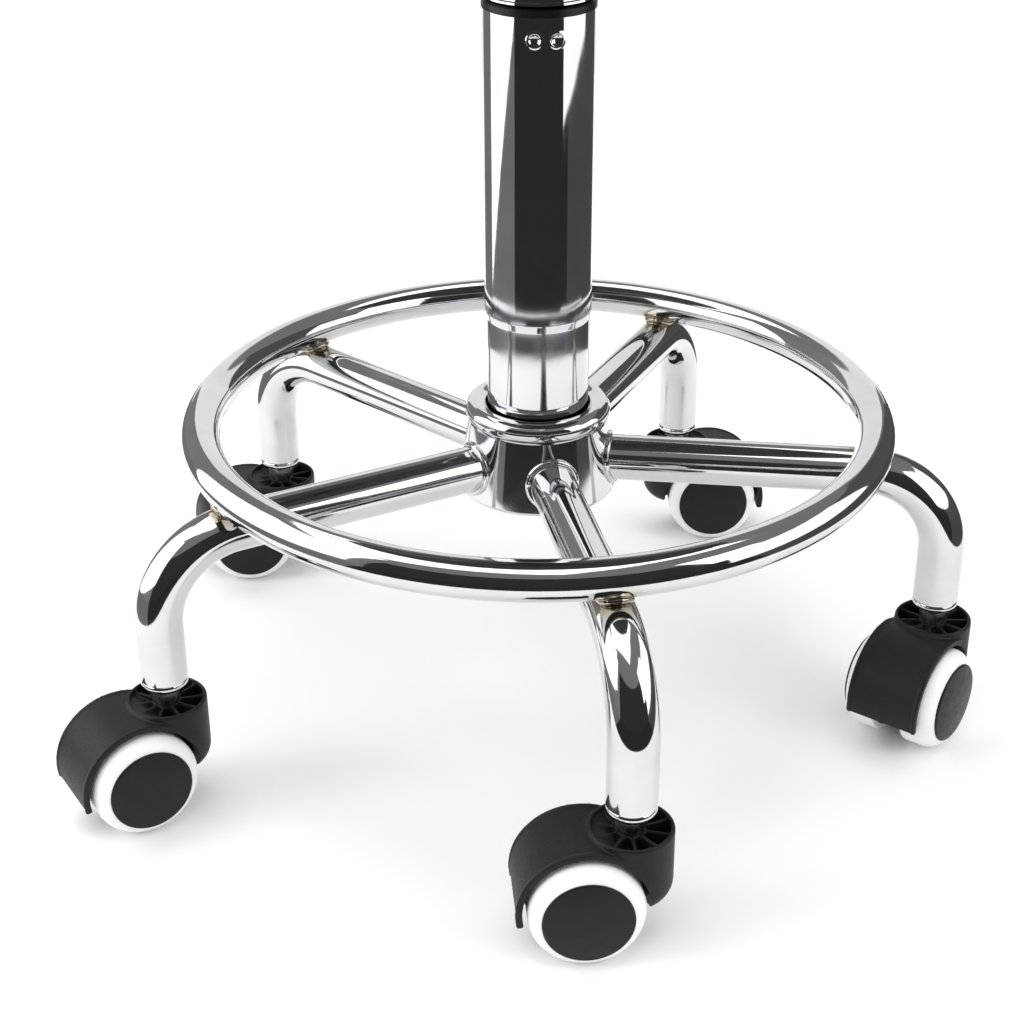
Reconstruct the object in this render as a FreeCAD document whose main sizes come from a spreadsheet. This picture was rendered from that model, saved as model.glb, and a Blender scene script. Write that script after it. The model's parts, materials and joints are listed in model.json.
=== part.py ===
import FreeCAD, Part
import math
import os
import re

import Sketcher

# A rolling stylist stool: five bent legs on a hub with a foot ring, five twin-wheel casters,
# a gas-lift column, and a round padded seat with a height lever.
# Millimetres, +Z up. The origin is on the floor under the column's axis, and leg 5 points along +X.

DIMENSIONS = [
    # legs and foot ring
    ("leg_count", 5),
    ("leg_axis_height", 134),
    ("leg_end_height", 65),
    ("leg_end_radius", 196.4),
    ("leg_tube_radius", 11),
    ("leg_tube_bore", 9.5),
    ("leg_bend_radius", 40),
    ("leg_inner_end", 20),
    ("bead_lip", 2.2),
    ("tool_overrun", 1),
    ("trim_reach", 80),
    ("foot_ring_radius", 160.4),
    ("foot_ring_tube_radius", 9),
    ("foot_ring_tube_bore", 7.8),
    ("foot_ring_height", 154.1),
    ("vent_radius", 2),
    ("root_weld_width", 2.5),
    ("weld_pad_thickness", 3.4),
    ("weld_pad_along", 7),
    ("weld_pad_across", 8.5),
    # hub
    ("hub_bottom", 118),
    ("hub_foot_radius", 37.4),
    ("hub_foot_round", 2),
    ("hub_shoulder_radius", 33.6),
    ("hub_shoulder_height", 154),
    ("hub_wall", 2.5),
    ("rim_centre_radius", 30),
    ("rim_centre_height", 158.7),
    ("rim_section", 4.8),
    ("rim_bore", 25.2),
    ("socket_radius", 28.5),
    ("socket_top", 153),
    # gas-lift column
    ("column_radius", 25),
    ("column_top", 350),
    ("column_wall", 1.8),
    ("column_neck_radius", 24.3),
    ("column_neck_height", 206),
    ("column_shoulder", 4.5),
    ("column_foot_radius", 23.6),
    ("column_foot_height", 120),
    ("column_floor", 3),
    ("dimple_ball_radius", 4),
    ("dimple_depth", 0.8),
    ("dimple_below_top", 9.5),
    ("collar_radius", 25.4),
    ("collar_height", 3.6),
    ("collar_round", 1),
    ("guide_length", 60),
    ("guide_bore", 14.05),
    ("rod_radius", 5),
    ("rod_bottom", 113),
    ("rod_top", 384),
    ("rod_flange_radius", 9),
    ("rod_flange_height", 131.4),
    ("rod_clearance", 0.05),
    ("ball_radius", 1.9),
    ("ball_circle", 9.5),
    ("ball_count", 9),
    ("race_radius", 13),
    ("race_height", 2),
    ("piston_height", 12),
    ("piston_radius", 12.2),
    ("clip_radius", 9),
    ("clip_height", 1.6),
    ("clip_gap", 0.4),
    ("pressure_radius", 14),
    ("pressure_bore", 12.5),
    ("pressure_bottom", 141),
    ("seal_height", 15),
    ("cone_bottom", 366),
    ("cone_top", 408),
    ("cone_tip_radius", 12.9),
    ("valve_floor", 388),
    ("button_radius", 4),
    ("button_bottom", 395),
    ("button_top", 415),
    # cover, socket and pan under the seat
    ("cover_radius", 24.75),
    ("cover_wall", 1.2),
    ("cover_bottom", 354.2),
    ("cover_top", 394),
    ("cover_bead", 1.6),
    ("cone_socket_radius", 17),
    ("cone_socket_bottom", 367),
    ("pan_bottom", 404),
    ("pan_top", 428),
    ("pan_thickness", 2.5),
    ("pan_floor_radius", 48),
    ("pan_wall_radius", 58),
    ("pan_flange_radius", 86),
    ("pan_hole_radius", 14),
    ("lever_slot_width", 22),
    ("lever_slot_height", 15),
    ("screw_circle", 72),
    ("screw_radius", 2.5),
    ("screw_length", 15),
    ("screw_head_radius", 6),
    ("screw_head_height", 3.2),
    # lever
    ("pivot_reach", 30),
    ("pivot_height", 418),
    ("pivot_radius", 3),
    ("pivot_length", 26),
    ("ear_inside", 9),
    ("ear_thickness", 2.5),
    ("ear_width", 14),
    ("eye_radius", 6.5),
    ("eye_length", 16),
    ("lever_drop", 7),
    ("lever_radius", 4),
    ("lever_length", 150),
    ("tongue_length", 35),
    ("tongue_width", 10),
    ("tongue_thickness", 4.5),
    ("grip_start", 128),
    ("grip_end", 186),
    ("grip_radius", 7.5),
    ("grip_neck_radius", 5.2),
    # seat
    ("board_radius", 172),
    ("board_thickness", 12),
    ("seat_radius", 180),
    ("seat_top", 512),
    ("seat_crown_round", 18),
    ("vinyl", 1.5),
    ("hem_radius", 150),
    # casters
    ("trail", 20),
    ("wheel_radius", 25),
    ("wheel_inner_face", 7.2),
    ("tread_side", 17),
    ("tread_round", 7.6),
    ("wheel_outer_face", 23.8),
    ("rim_radius", 22),
    ("cap_radius", 19.6),
    ("cap_face", 24.9),
    ("cap_crown", 26.6),
    ("cap_dome", 90),
    ("cap_flat_radius", 2.5),
    ("wheel_hub_radius", 6),
    ("web_plane", 15.5),
    ("axle_radius", 3),
    ("axle_reach", 20.5),
    ("fender_radius", 29.5),
    ("fender_bore", 27),
    ("fender_half_width", 18),
    ("fender_back_height", 19),
    ("hood_front_height", 20),
    ("fender_front_height", 45),
    ("hood_top", 56),
    ("cup_radius", 18.5),
    ("cup_bore", 16.7),
    ("cup_floor", 22.5),
    ("cup_foot_round", 10.5),
    ("rib_count", 10),
    ("rib_thickness", 1.4),
    ("rib_top", 54),
    ("boss_radius", 6.4),
    ("boss_bottom", 24),
    ("web_half_width", 2.5),
    ("axle_boss_radius", 5.5),
    ("axle_boss_half_width", 6.8),
    ("stem_radius", 5.5),
    ("stem_foot_radius", 5),
    ("stem_bottom", 30),
    ("stem_collar_radius", 7),
    ("stem_collar_bottom", 57),
    ("stem_collar_top", 60.5),
    ("stem_top", 86),
    ("stem_groove_height", 78),
    ("stem_groove_width", 2),
    ("stem_groove_radius", 4.6),
    ("bead_radius", 10.9),
    ("bead_section", 2.35),
    ("insert_top", 90),
]

# Caster headings in degrees about +Z, one per leg: 0 trails towards -X.
CASTER_HEADINGS = (12, 39, 16, 189, 60)
# Leg angles in degrees from -Y towards +X for the first leg; each next leg is one step clockwise.
FIRST_LEG_ANGLE = 18
# Turns round tools so that their seams lie between the legs.
SEAM_ANGLE = 36
# The column's pair of staked dimples, in degrees from -Y towards +X.
DIMPLE_ANGLES = (2, 24)
EXPORT_FOLDER = "parts"

UP = FreeCAD.Vector(0, 0, 1)
ALONG_X = FreeCAD.Vector(1, 0, 0)
ALONG_Y = FreeCAD.Vector(0, 1, 0)

doc = FreeCAD.newDocument("RollingStylistStool")


def make_sheet():
    """The spreadsheet of driving dimensions: one named cell each."""
    sheet = doc.addObject("Spreadsheet::Sheet", "Dimensions")
    for row, (alias, number) in enumerate(DIMENSIONS, start=1):
        sheet.set(f"A{row}", alias)
        sheet.set(f"B{row}", str(number))
        sheet.setAlias(f"B{row}", alias)
    doc.recompute()
    return sheet


sheet = make_sheet()


def cell_names(words):
    """An expression in the sheet's aliases, as FreeCAD writes it."""
    return re.sub(r"[a-z][a-z_]*", lambda found: "Dimensions." + found.group(0), str(words))


def size(words):
    """The present value of an expression in the sheet's aliases."""
    return float(sheet.evalExpression(cell_names(words)))


def bind(item, **properties):
    """Drive an object's properties by the sheet."""
    for name, words in properties.items():
        item.setExpression(name, cell_names(words))


def place(x=0, y=0, z=0, axis=UP, angle=0):
    return FreeCAD.Placement(FreeCAD.Vector(x, y, z), FreeCAD.Rotation(axis, angle))


def origin_plane(body, role):
    return next(item for item in body.Origin.OriginFeatures if item.Role == role)


def arc_between(start, end, radius, turn):
    """The short arc from start to end; turn is 1 when it runs counter-clockwise, -1 when clockwise."""
    chord = FreeCAD.Vector(end[0] - start[0], end[1] - start[1], 0)
    middle = FreeCAD.Vector((start[0] + end[0]) / 2, (start[1] + end[1]) / 2, 0)
    rise = math.sqrt(max(radius**2 - (chord.Length / 2) ** 2, 0))
    normal = FreeCAD.Vector(-chord.y, chord.x, 0).normalize()
    centre = middle + normal * (rise * turn)
    circle = Part.Circle(centre, UP, radius)
    first = math.atan2(start[1] - centre.y, start[0] - centre.x)
    last = math.atan2(end[1] - centre.y, end[0] - centre.x)
    if turn < 0:
        first, last = last, first
    return Part.ArcOfCircle(circle, first, last)


def turned(label, outline, placement=None):
    """A solid of revolution about its own Z axis.

    outline is a closed loop of (radius, height) expressions. A third and fourth item make the
    edge that leaves the point an arc of that radius, counter-clockwise (1) or clockwise (-1).
    """
    body = doc.addObject("PartDesign::Body", label)
    sketch = body.newObject("Sketcher::SketchObject", label + "_outline")
    sketch.AttachmentSupport = (origin_plane(body, "XZ_Plane"), [""])
    sketch.MapMode = "FlatFace"
    points = [(size(corner[0]), size(corner[1])) for corner in outline]
    ends = []
    for index, corner in enumerate(outline):
        start = points[index]
        end = points[(index + 1) % len(points)]
        if len(corner) == 4:
            sketch.addGeometry(arc_between(start, end, size(corner[2]), corner[3]))
            ends.append((1, 2) if corner[3] > 0 else (2, 1))
            rule = sketch.addConstraint(Sketcher.Constraint("Radius", index, size(corner[2])))
            sketch.setExpression(f"Constraints[{rule}]", cell_names(corner[2]))
        else:
            sketch.addGeometry(Part.LineSegment(FreeCAD.Vector(*start, 0), FreeCAD.Vector(*end, 0)))
            ends.append((1, 2))
    for index, corner in enumerate(outline):
        following = (index + 1) % len(outline)
        sketch.addConstraint(
            Sketcher.Constraint("Coincident", index, ends[index][1], following, ends[following][0])
        )
        for direction, axis, number, words in (
            ("DistanceX", -2, points[index][0], corner[0]),
            ("DistanceY", -1, points[index][1], corner[1]),
        ):
            if abs(number) < 1e-9:
                sketch.addConstraint(
                    Sketcher.Constraint("PointOnObject", index, ends[index][0], axis)
                )
                continue
            rule = sketch.addConstraint(
                Sketcher.Constraint(direction, -1, 1, index, ends[index][0], number)
            )
            sketch.setExpression(f"Constraints[{rule}]", cell_names(words))
    revolution = body.newObject("PartDesign::Revolution", label + "_turn")
    revolution.Profile = sketch
    revolution.ReferenceAxis = (sketch, ["V_Axis"])
    revolution.Angle = 360
    body.Tip = revolution
    if placement:
        body.Placement = placement
    return body


def cylinder(label, radius, height, placement=None):
    item = doc.addObject("Part::Cylinder", label)
    bind(item, Radius=radius, Height=height)
    item.Placement = placement or place()
    return item


def box(label, length, width, height, placement):
    item = doc.addObject("Part::Box", label)
    bind(item, Length=length, Width=width, Height=height)
    item.Placement = placement
    return item


def ball(label, radius, placement):
    item = doc.addObject("Part::Sphere", label)
    bind(item, Radius=radius)
    item.Placement = placement
    return item


def fused(label, members):
    item = doc.addObject("Part::MultiFuse", label)
    item.Shapes = members
    return item


def cut(label, base, tools):
    item = doc.addObject("Part::Cut", label)
    item.Base = base
    item.Tool = tools[0] if len(tools) == 1 else fused(label + "_tools", tools)
    return item


def common(label, base, tool):
    item = doc.addObject("Part::Common", label)
    item.Base = base
    item.Tool = tool
    return item


def group(label, members):
    """Identical or small solids that share one node and stay separate."""
    item = doc.addObject("Part::Compound", label)
    item.Links = members
    return item


nodes = []


def node(item):
    """Mark an object as a finished sub-part."""
    nodes.append(item)
    return item


def leg_angle(index):
    """Degrees about +Z that turn the +X direction onto a leg."""
    return FIRST_LEG_ANGLE - 90 - index * 360 / size("leg_count")


def caster_place(index):
    """The frame of a caster: its stem axis, turned to its heading."""
    angle = math.radians(leg_angle(index))
    reach = size("leg_end_radius")
    return place(reach * math.cos(angle), reach * math.sin(angle), 0, UP, CASTER_HEADINGS[index])


# ---- base -----------------------------------------------------------------------------------


def hub_shell():
    """The flared bell of the hub, with its fat rolled rim around the column."""
    rim_foot_radius = "rim_centre_radius + rim_section / 2"
    rim_foot_height = "rim_centre_height - rim_section * 0.866"
    outline = [
        ("hub_foot_radius - hub_wall", "hub_bottom"),
        ("hub_foot_radius - hub_foot_round", "hub_bottom", "hub_foot_round", 1),
        ("hub_foot_radius", "hub_bottom + hub_foot_round"),
        ("hub_shoulder_radius", "hub_shoulder_height"),
        (rim_foot_radius, rim_foot_height, "rim_section", 1),
        ("rim_centre_radius + rim_section", "rim_centre_height", "rim_section", 1),
        ("rim_centre_radius", "rim_centre_height + rim_section", "rim_section * 2", 1),
        ("rim_bore", "rim_centre_height + rim_section * 0.7"),
        ("rim_bore", "rim_centre_height - 1"),
        ("hub_shoulder_radius - hub_wall", "hub_shoulder_height - hub_wall"),
    ]
    return turned("hub_shell", outline)


def hub_socket():
    """The thick sleeve inside the bell, whose taper bore grips the column, with its foot flange."""
    taper = "(column_neck_radius - column_foot_radius) / (column_neck_height - column_foot_height)"
    outline = [
        ("column_foot_radius", "column_foot_height"),
        ("column_foot_radius - 2", "column_foot_height - 0.5"),
        ("column_foot_radius - 2", "hub_bottom"),
        ("hub_foot_radius - hub_wall", "hub_bottom"),
        ("hub_foot_radius - hub_wall - 0.3", "hub_bottom + hub_wall"),
        ("socket_radius", "hub_bottom + hub_wall"),
        ("socket_radius", "socket_top"),
        ("column_foot_radius + (socket_top - column_foot_height) * " + taper, "socket_top"),
    ]
    return turned("hub_socket", outline)


def leg_cope():
    """The outside of the hub as a solid, which trims the legs' inner ends."""
    item = doc.addObject("Part::Cone", "leg_cope")
    bind(
        item,
        Radius1="hub_foot_radius",
        Radius2="hub_shoulder_radius",
        Height="hub_shoulder_height - hub_bottom - hub_foot_round",
    )
    item.Placement = place(0, 0, size("hub_bottom + hub_foot_round"), UP, SEAM_ANGLE)
    return item


def bent_bar(label, radius, overrun, placement):
    """A bar along +X that turns a quarter down onto the caster's axis, longer by overrun at each end."""
    start = size("leg_inner_end") - overrun
    bend_start = size("leg_end_radius - leg_bend_radius")
    level = size("leg_axis_height")
    bend_low = size("leg_axis_height - leg_bend_radius")
    run = cylinder(label + "_run", radius, f"leg_end_radius - leg_bend_radius - {start}")
    run.Placement = place(start, 0, level, ALONG_Y, 90)
    bend = doc.addObject("Part::Torus", label + "_bend")
    bind(bend, Radius1="leg_bend_radius", Radius2=radius)
    bend.Angle3 = 90
    bend.Placement = place(bend_start, 0, bend_low, ALONG_X, 90)
    end = f"(leg_end_height + bead_lip - {overrun})"
    drop = cylinder(label + "_drop", radius, f"leg_axis_height - leg_bend_radius - {end}")
    drop.Placement = place(size("leg_end_radius"), 0, size(end))
    bar = fused(label, [run, bend, drop])
    bar.Placement = placement
    return bar


def leg(index, cope):
    """One bent tube, coped onto the hub."""
    label = f"leg_{index + 1}"
    turn = place(0, 0, 0, UP, leg_angle(index))
    outside = bent_bar(label + "_outside", "leg_tube_radius", 0, turn)
    inside = bent_bar(label + "_inside", "leg_tube_bore", size("tool_overrun"), turn)
    return cut(label, outside, [inside, cope])


def foot_ring():
    """The ring tube, with a plating vent on its underside, halfway between two legs."""
    outside = doc.addObject("Part::Torus", "foot_ring_outside")
    bind(outside, Radius1="foot_ring_radius", Radius2="foot_ring_tube_radius")
    inside = doc.addObject("Part::Torus", "foot_ring_inside")
    bind(inside, Radius1="foot_ring_radius", Radius2="foot_ring_tube_bore")
    for item in (outside, inside):
        item.Placement = place(0, 0, size("foot_ring_height"))
    angle = math.radians(leg_angle(0) + SEAM_ANGLE)
    reach = size("foot_ring_radius")
    vent = cylinder("foot_ring_vent", "vent_radius", "foot_ring_tube_radius + 2")
    vent.Placement = place(
        reach * math.cos(angle), reach * math.sin(angle), size("foot_ring_height - foot_ring_tube_radius - 2")
    )
    return cut("foot_ring", outside, [inside, vent])


def weld_beads(cope):
    """Welds: a pad between each leg and the ring, and a bead around each leg's root."""
    ring_core = doc.addObject("Part::Torus", "weld_ring_core")
    bind(ring_core, Radius1="foot_ring_radius", Radius2="foot_ring_tube_radius")
    ring_core.Placement = place(0, 0, size("foot_ring_height"), UP, SEAM_ANGLE)
    welds = []
    for index in range(int(size("leg_count"))):
        turn = place(0, 0, 0, UP, leg_angle(index))
        core = cylinder(f"weld_leg_core_{index + 1}", "leg_tube_radius", "leg_end_radius")
        core.Placement = turn * place(0, 0, size("leg_axis_height"), ALONG_Y, 90)
        pad = doc.addObject("Part::Ellipsoid", f"weld_pad_{index + 1}")
        bind(pad, Radius1="weld_pad_thickness", Radius2="weld_pad_along", Radius3="weld_pad_across")
        pad.Placement = turn * place(size("foot_ring_radius"), 0, size("leg_axis_height + leg_tube_radius"))
        bead = doc.addObject("Part::Cone", f"weld_root_{index + 1}")
        bind(
            bead,
            Radius1="leg_tube_radius + root_weld_width",
            Radius2="leg_tube_radius + 0.5",
            Height="root_weld_width * 2",
        )
        root = size("hub_shoulder_radius - tool_overrun")
        bead.Placement = turn * place(root, 0, size("leg_axis_height"), ALONG_Y, 90)
        welds.append(cut(f"ring_weld_{index + 1}", pad, [core, ring_core]))
        welds.append(cut(f"root_weld_{index + 1}", bead, [core, cope]))
    return group("weld_beads", welds)


def stem_sockets():
    """The plugs in the legs' lower ends: a rounded bead outside, a bored sleeve inside."""
    outline = [
        ("stem_radius", "leg_end_height - bead_section"),
        ("bead_radius - bead_section", "leg_end_height - bead_section", "bead_section", 1),
        ("bead_radius", "leg_end_height", "bead_section", 1),
        ("leg_tube_bore", "leg_end_height + bead_lip"),
        ("leg_tube_bore", "insert_top"),
        ("stem_radius", "insert_top"),
    ]
    members = []
    for index in range(int(size("leg_count"))):
        members.append(turned(f"stem_socket_{index + 1}", outline, caster_place(index)))
    return group("stem_sockets", members)


def caster_stems():
    """Each caster's steel stem, with the snap ring in its groove as a solid of its own."""
    stem = [
        ("0", "stem_bottom"),
        ("stem_foot_radius", "stem_bottom"),
        ("stem_foot_radius", "stem_collar_bottom"),
        ("stem_collar_radius", "stem_collar_bottom"),
        ("stem_collar_radius", "stem_collar_top"),
        ("stem_radius", "stem_collar_top"),
        ("stem_radius", "stem_groove_height"),
        ("stem_groove_radius", "stem_groove_height"),
        ("stem_groove_radius", "stem_groove_height + stem_groove_width"),
        ("stem_radius", "stem_groove_height + stem_groove_width"),
        ("stem_radius", "stem_top - 1"),
        ("stem_radius - 1", "stem_top"),
        ("0", "stem_top"),
    ]
    snap_ring = [
        ("stem_groove_radius", "stem_groove_height"),
        ("stem_radius", "stem_groove_height"),
        ("stem_radius", "stem_groove_height + stem_groove_width"),
        ("stem_groove_radius", "stem_groove_height + stem_groove_width"),
    ]
    members = []
    for index in range(int(size("leg_count"))):
        members.append(turned(f"stem_{index + 1}", stem, caster_place(index)))
        members.append(turned(f"snap_ring_{index + 1}", snap_ring, caster_place(index)))
    return group("caster_stems", members)


# ---- gas-lift column ------------------------------------------------------------------------


def column_tube():
    """The outer tube: straight above, a swaged shoulder, a slight taper into the hub, a bored floor."""
    blank = turned("column_blank", [
        ("rod_radius + rod_clearance", "column_foot_height"),
        ("column_foot_radius", "column_foot_height"),
        ("column_neck_radius", "column_neck_height"),
        ("column_neck_radius + 0.15", "column_neck_height + 0.6", "column_shoulder * 2.2", -1),
        ("column_radius", "column_neck_height + column_shoulder"),
        ("column_radius", "column_top"),
        ("column_radius - column_wall", "column_top"),
        ("column_radius - column_wall", "column_neck_height + column_shoulder"),
        ("column_neck_radius - column_wall", "column_neck_height"),
        ("column_foot_radius - column_wall", "column_foot_height + column_floor"),
        ("rod_radius + rod_clearance", "column_foot_height + column_floor"),
    ])
    dimples = []
    for index, angle in enumerate(DIMPLE_ANGLES):
        turn = math.radians(angle - 90)
        reach = size("column_radius + dimple_ball_radius - dimple_depth")
        dimples.append(ball(
            f"dimple_{index + 1}",
            "dimple_ball_radius",
            place(reach * math.cos(turn), reach * math.sin(turn), size("column_top - dimple_below_top")),
        ))
    return cut("column_tube", blank, dimples)


def guide_sleeve():
    """The plastic guide in the tube's mouth, whose collar shows as a thin black ring."""
    outline = [
        ("guide_bore", "column_top - guide_length"),
        ("column_radius - column_wall", "column_top - guide_length"),
        ("column_radius - column_wall", "column_top"),
        ("collar_radius", "column_top"),
        ("collar_radius", "column_top + collar_height - collar_round", "collar_round", 1),
        ("collar_radius - collar_round", "column_top + collar_height"),
        ("guide_bore", "column_top + collar_height"),
    ]
    return turned("guide_sleeve", outline)


def thrust_bearing():
    """The ball thrust bearing on the tube's floor, which carries the rod and lets it turn."""
    floor = "column_foot_height + column_floor"
    gap = "2 * ball_radius + 0.1"
    members = []
    for name, level in (("lower_race", floor), ("upper_race", f"{floor} + race_height + {gap}")):
        members.append(turned(name, [
            ("rod_radius + 0.5", level),
            ("race_radius", level),
            ("race_radius", f"{level} + race_height"),
            ("rod_radius + 0.5", f"{level} + race_height"),
        ]))
    for index in range(int(size("ball_count"))):
        angle = 2 * math.pi * index / size("ball_count")
        reach = size("ball_circle")
        members.append(ball(
            f"bearing_ball_{index + 1}",
            "ball_radius",
            place(reach * math.cos(angle), reach * math.sin(angle),
                  size(f"{floor} + race_height + ball_radius + 0.05")),
        ))
    return group("thrust_bearing", members)


def piston_rod():
    """The rod: held under the tube's floor by its clip, its flange on the bearing, the piston on top."""
    return turned("piston_rod", [
        ("0", "rod_bottom"),
        ("rod_radius - 0.8", "rod_bottom"),
        ("rod_radius", "rod_bottom + 0.8"),
        ("rod_radius", "rod_flange_height"),
        ("rod_flange_radius", "rod_flange_height"),
        ("rod_flange_radius", "rod_flange_height + 2.5"),
        ("rod_radius", "rod_flange_height + 2.5"),
        ("rod_radius", "rod_top"),
        ("0", "rod_top"),
    ])


def piston():
    """The piston, with its seal groove."""
    bottom = "rod_top - piston_height"
    return turned("piston", [
        ("rod_radius", bottom),
        ("piston_radius", bottom),
        ("piston_radius", f"{bottom} + 4"),
        ("piston_radius - 1.5", f"{bottom} + 4"),
        ("piston_radius - 1.5", f"{bottom} + 7"),
        ("piston_radius", f"{bottom} + 7"),
        ("piston_radius", "rod_top"),
        ("rod_radius", "rod_top"),
    ])


def rod_clip():
    """The horseshoe clip that holds the rod under the tube's floor."""
    top = "column_foot_height - clip_gap"
    washer = turned("rod_clip_blank", [
        ("rod_radius", f"{top} - clip_height"),
        ("clip_radius", f"{top} - clip_height"),
        ("clip_radius", top),
        ("rod_radius", top),
    ])
    mouth = box("rod_clip_mouth", "clip_radius + 2", "rod_radius * 1.4", "clip_height + 2",
                place(0, -size("rod_radius * 0.7"), size(f"{top} - clip_height - 1")))
    return cut("rod_clip", washer, [mouth])


def pressure_tube():
    """The moving gas cylinder, closed above by the valve block and the locking cone."""
    return turned("pressure_tube", [
        ("pressure_bore", "pressure_bottom"),
        ("pressure_radius", "pressure_bottom"),
        ("pressure_radius", "cone_bottom"),
        ("cone_tip_radius", "cone_top"),
        ("button_radius + rod_clearance", "cone_top"),
        ("button_radius + rod_clearance", "valve_floor"),
        ("pressure_bore", "valve_floor"),
    ])


def rod_seal():
    """The guide and seal packet at the pressure tube's lower end."""
    return turned("rod_seal", [
        ("rod_radius + rod_clearance", "pressure_bottom + 1"),
        ("pressure_bore", "pressure_bottom + 1"),
        ("pressure_bore", "pressure_bottom + seal_height"),
        ("rod_radius + rod_clearance", "pressure_bottom + seal_height"),
    ])


def release_button():
    """The valve pin on top of the cone."""
    return turned("release_button", [
        ("0", "button_bottom"),
        ("button_radius", "button_bottom"),
        ("button_radius", "button_top - 1"),
        ("button_radius - 1", "button_top"),
        ("0", "button_top"),
    ])


# ---- under the seat -------------------------------------------------------------------------


def lift_cover():
    """The chromed cup that hides the cone and comes down onto the collar, with a rolled lower rim."""
    return turned("lift_cover", [
        ("cover_radius - cover_wall", "cover_bottom"),
        ("cover_radius - 0.6", "cover_bottom"),
        ("cover_radius", "cover_bottom + 0.6"),
        ("cover_radius", "cover_bottom + cover_bead"),
        ("cover_radius - 0.45", "cover_bottom + cover_bead + 0.45"),
        ("cover_radius - 0.45", "cover_top - 4", "4", 1),
        ("cover_radius - 4.45", "cover_top"),
        ("cone_socket_radius + 0.05", "cover_top"),
        ("cone_socket_radius + 0.05", "cover_top - cover_wall"),
        ("cover_radius - 4.45", "cover_top - cover_wall"),
        ("cover_radius - cover_wall - 0.45", "cover_top - 5"),
        ("cover_radius - cover_wall - 0.45", "cover_bottom + cover_bead"),
    ])


def cone_socket():
    """The taper sleeve welded under the pan, which sits on the gas cylinder's cone."""
    taper = "(pressure_radius - cone_tip_radius) / (cone_top - cone_bottom)"
    return turned("cone_socket", [
        ("pressure_radius - (cone_socket_bottom - cone_bottom) * " + taper, "cone_socket_bottom"),
        ("cone_socket_radius", "cone_socket_bottom"),
        ("cone_socket_radius", "pan_bottom"),
        ("pressure_radius - (pan_bottom - cone_bottom) * " + taper, "pan_bottom"),
    ])


def screw_places():
    for step in range(4):
        angle = math.radians(45 + 90 * step)
        reach = size("screw_circle")
        yield place(reach * math.cos(angle), reach * math.sin(angle), 0)


def mechanism_pan():
    """The pressed pan under the board: floor, wall, bolting flange, lever slot and the pivot's ears."""
    dish = turned("pan_dish", [
        ("pan_hole_radius", "pan_bottom"),
        ("pan_floor_radius", "pan_bottom"),
        ("pan_wall_radius - 4", "pan_bottom + 5"),
        ("pan_wall_radius", "pan_top - pan_thickness"),
        ("pan_flange_radius", "pan_top - pan_thickness"),
        ("pan_flange_radius", "pan_top"),
        ("pan_wall_radius - pan_thickness", "pan_top"),
        ("pan_wall_radius - pan_thickness - 4", "pan_bottom + 6"),
        ("pan_floor_radius - 1", "pan_bottom + pan_thickness"),
        ("pan_hole_radius", "pan_bottom + pan_thickness"),
    ])
    ears = []
    for side in (-1, 1):
        inside = size("ear_inside")
        corner = inside if side > 0 else -size("ear_inside + ear_thickness")
        ears.append(box(
            f"pan_ear_{'left' if side < 0 else 'right'}",
            "ear_width", "ear_thickness", "pivot_height + 6 - pan_bottom - pan_thickness + 0.5",
            place(-size("pivot_reach + ear_width / 2"), corner, size("pan_bottom + pan_thickness - 0.5")),
        ))
    slot = box(
        "pan_lever_slot", "20", "lever_slot_width", "lever_slot_height",
        place(-size("pan_wall_radius + 8"), -size("lever_slot_width / 2"), size("pan_bottom + 4.5")),
    )
    pivot_bore = cylinder("pan_pivot_bore", "pivot_radius", "pivot_length + 10")
    pivot_bore.Placement = place(
        -size("pivot_reach"), size("pivot_length / 2 + 5"), size("pivot_height"), ALONG_X, 90
    )
    holes = [slot, pivot_bore]
    for index, spot in enumerate(screw_places()):
        hole = cylinder(f"pan_screw_hole_{index + 1}", "screw_radius", "pan_thickness + 4")
        hole.Placement = spot * place(0, 0, size("pan_top - pan_thickness - 2"))
        holes.append(hole)
    return cut("mechanism_pan", fused("pan_welded", [dish] + ears), holes)


def seat_screws():
    """Four pan-head screws through the pan's flange into the board."""
    head = "pan_top - pan_thickness"
    members = []
    for index, spot in enumerate(screw_places()):
        members.append(turned(f"seat_screw_{index + 1}", [
            ("0", f"{head} - screw_head_height"),
            ("screw_head_radius - 2", f"{head} - screw_head_height"),
            ("screw_head_radius", f"{head} - 1.2"),
            ("screw_head_radius", head),
            ("screw_radius", head),
            ("screw_radius", f"{head} + screw_length - 3"),
            ("0", f"{head} + screw_length - 1"),
        ], spot))
    return group("seat_screws", members)


def lever_frame():
    """The lever's own frame: +Z along the rod, outwards and a little down from the pivot."""
    return place(-size("pivot_reach"), 0, size("pivot_height"), ALONG_Y, -(90 + size("lever_drop")))


def lever_rod():
    """The lever: an eye on the pivot, a tongue over the button and a straight rod to the grip."""
    eye = cylinder("lever_eye", "eye_radius", "eye_length")
    eye.Placement = place(
        -size("pivot_reach"), size("eye_length / 2"), size("pivot_height"), ALONG_X, 90
    )
    tongue = box(
        "lever_tongue", "tongue_length", "tongue_width", "tongue_thickness",
        place(-size("pivot_reach"), -size("tongue_width / 2"), size("button_top + 0.3")),
    )
    rod = cylinder("lever_bar", "lever_radius", "lever_length")
    rod.Placement = lever_frame()
    bore = cylinder("lever_bore", "pivot_radius + rod_clearance", "eye_length + 4")
    bore.Placement = place(
        -size("pivot_reach"), size("eye_length / 2 + 2"), size("pivot_height"), ALONG_X, 90
    )
    return cut("lever_rod", fused("lever_forged", [eye, tongue, rod]), [bore])


def lever_pin():
    """The pin that the lever turns on, held in the pan's ears."""
    item = cylinder("lever_pin", "pivot_radius", "pivot_length")
    item.Placement = place(
        -size("pivot_reach"), size("pivot_length / 2"), size("pivot_height"), ALONG_X, 90
    )
    return item


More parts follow.
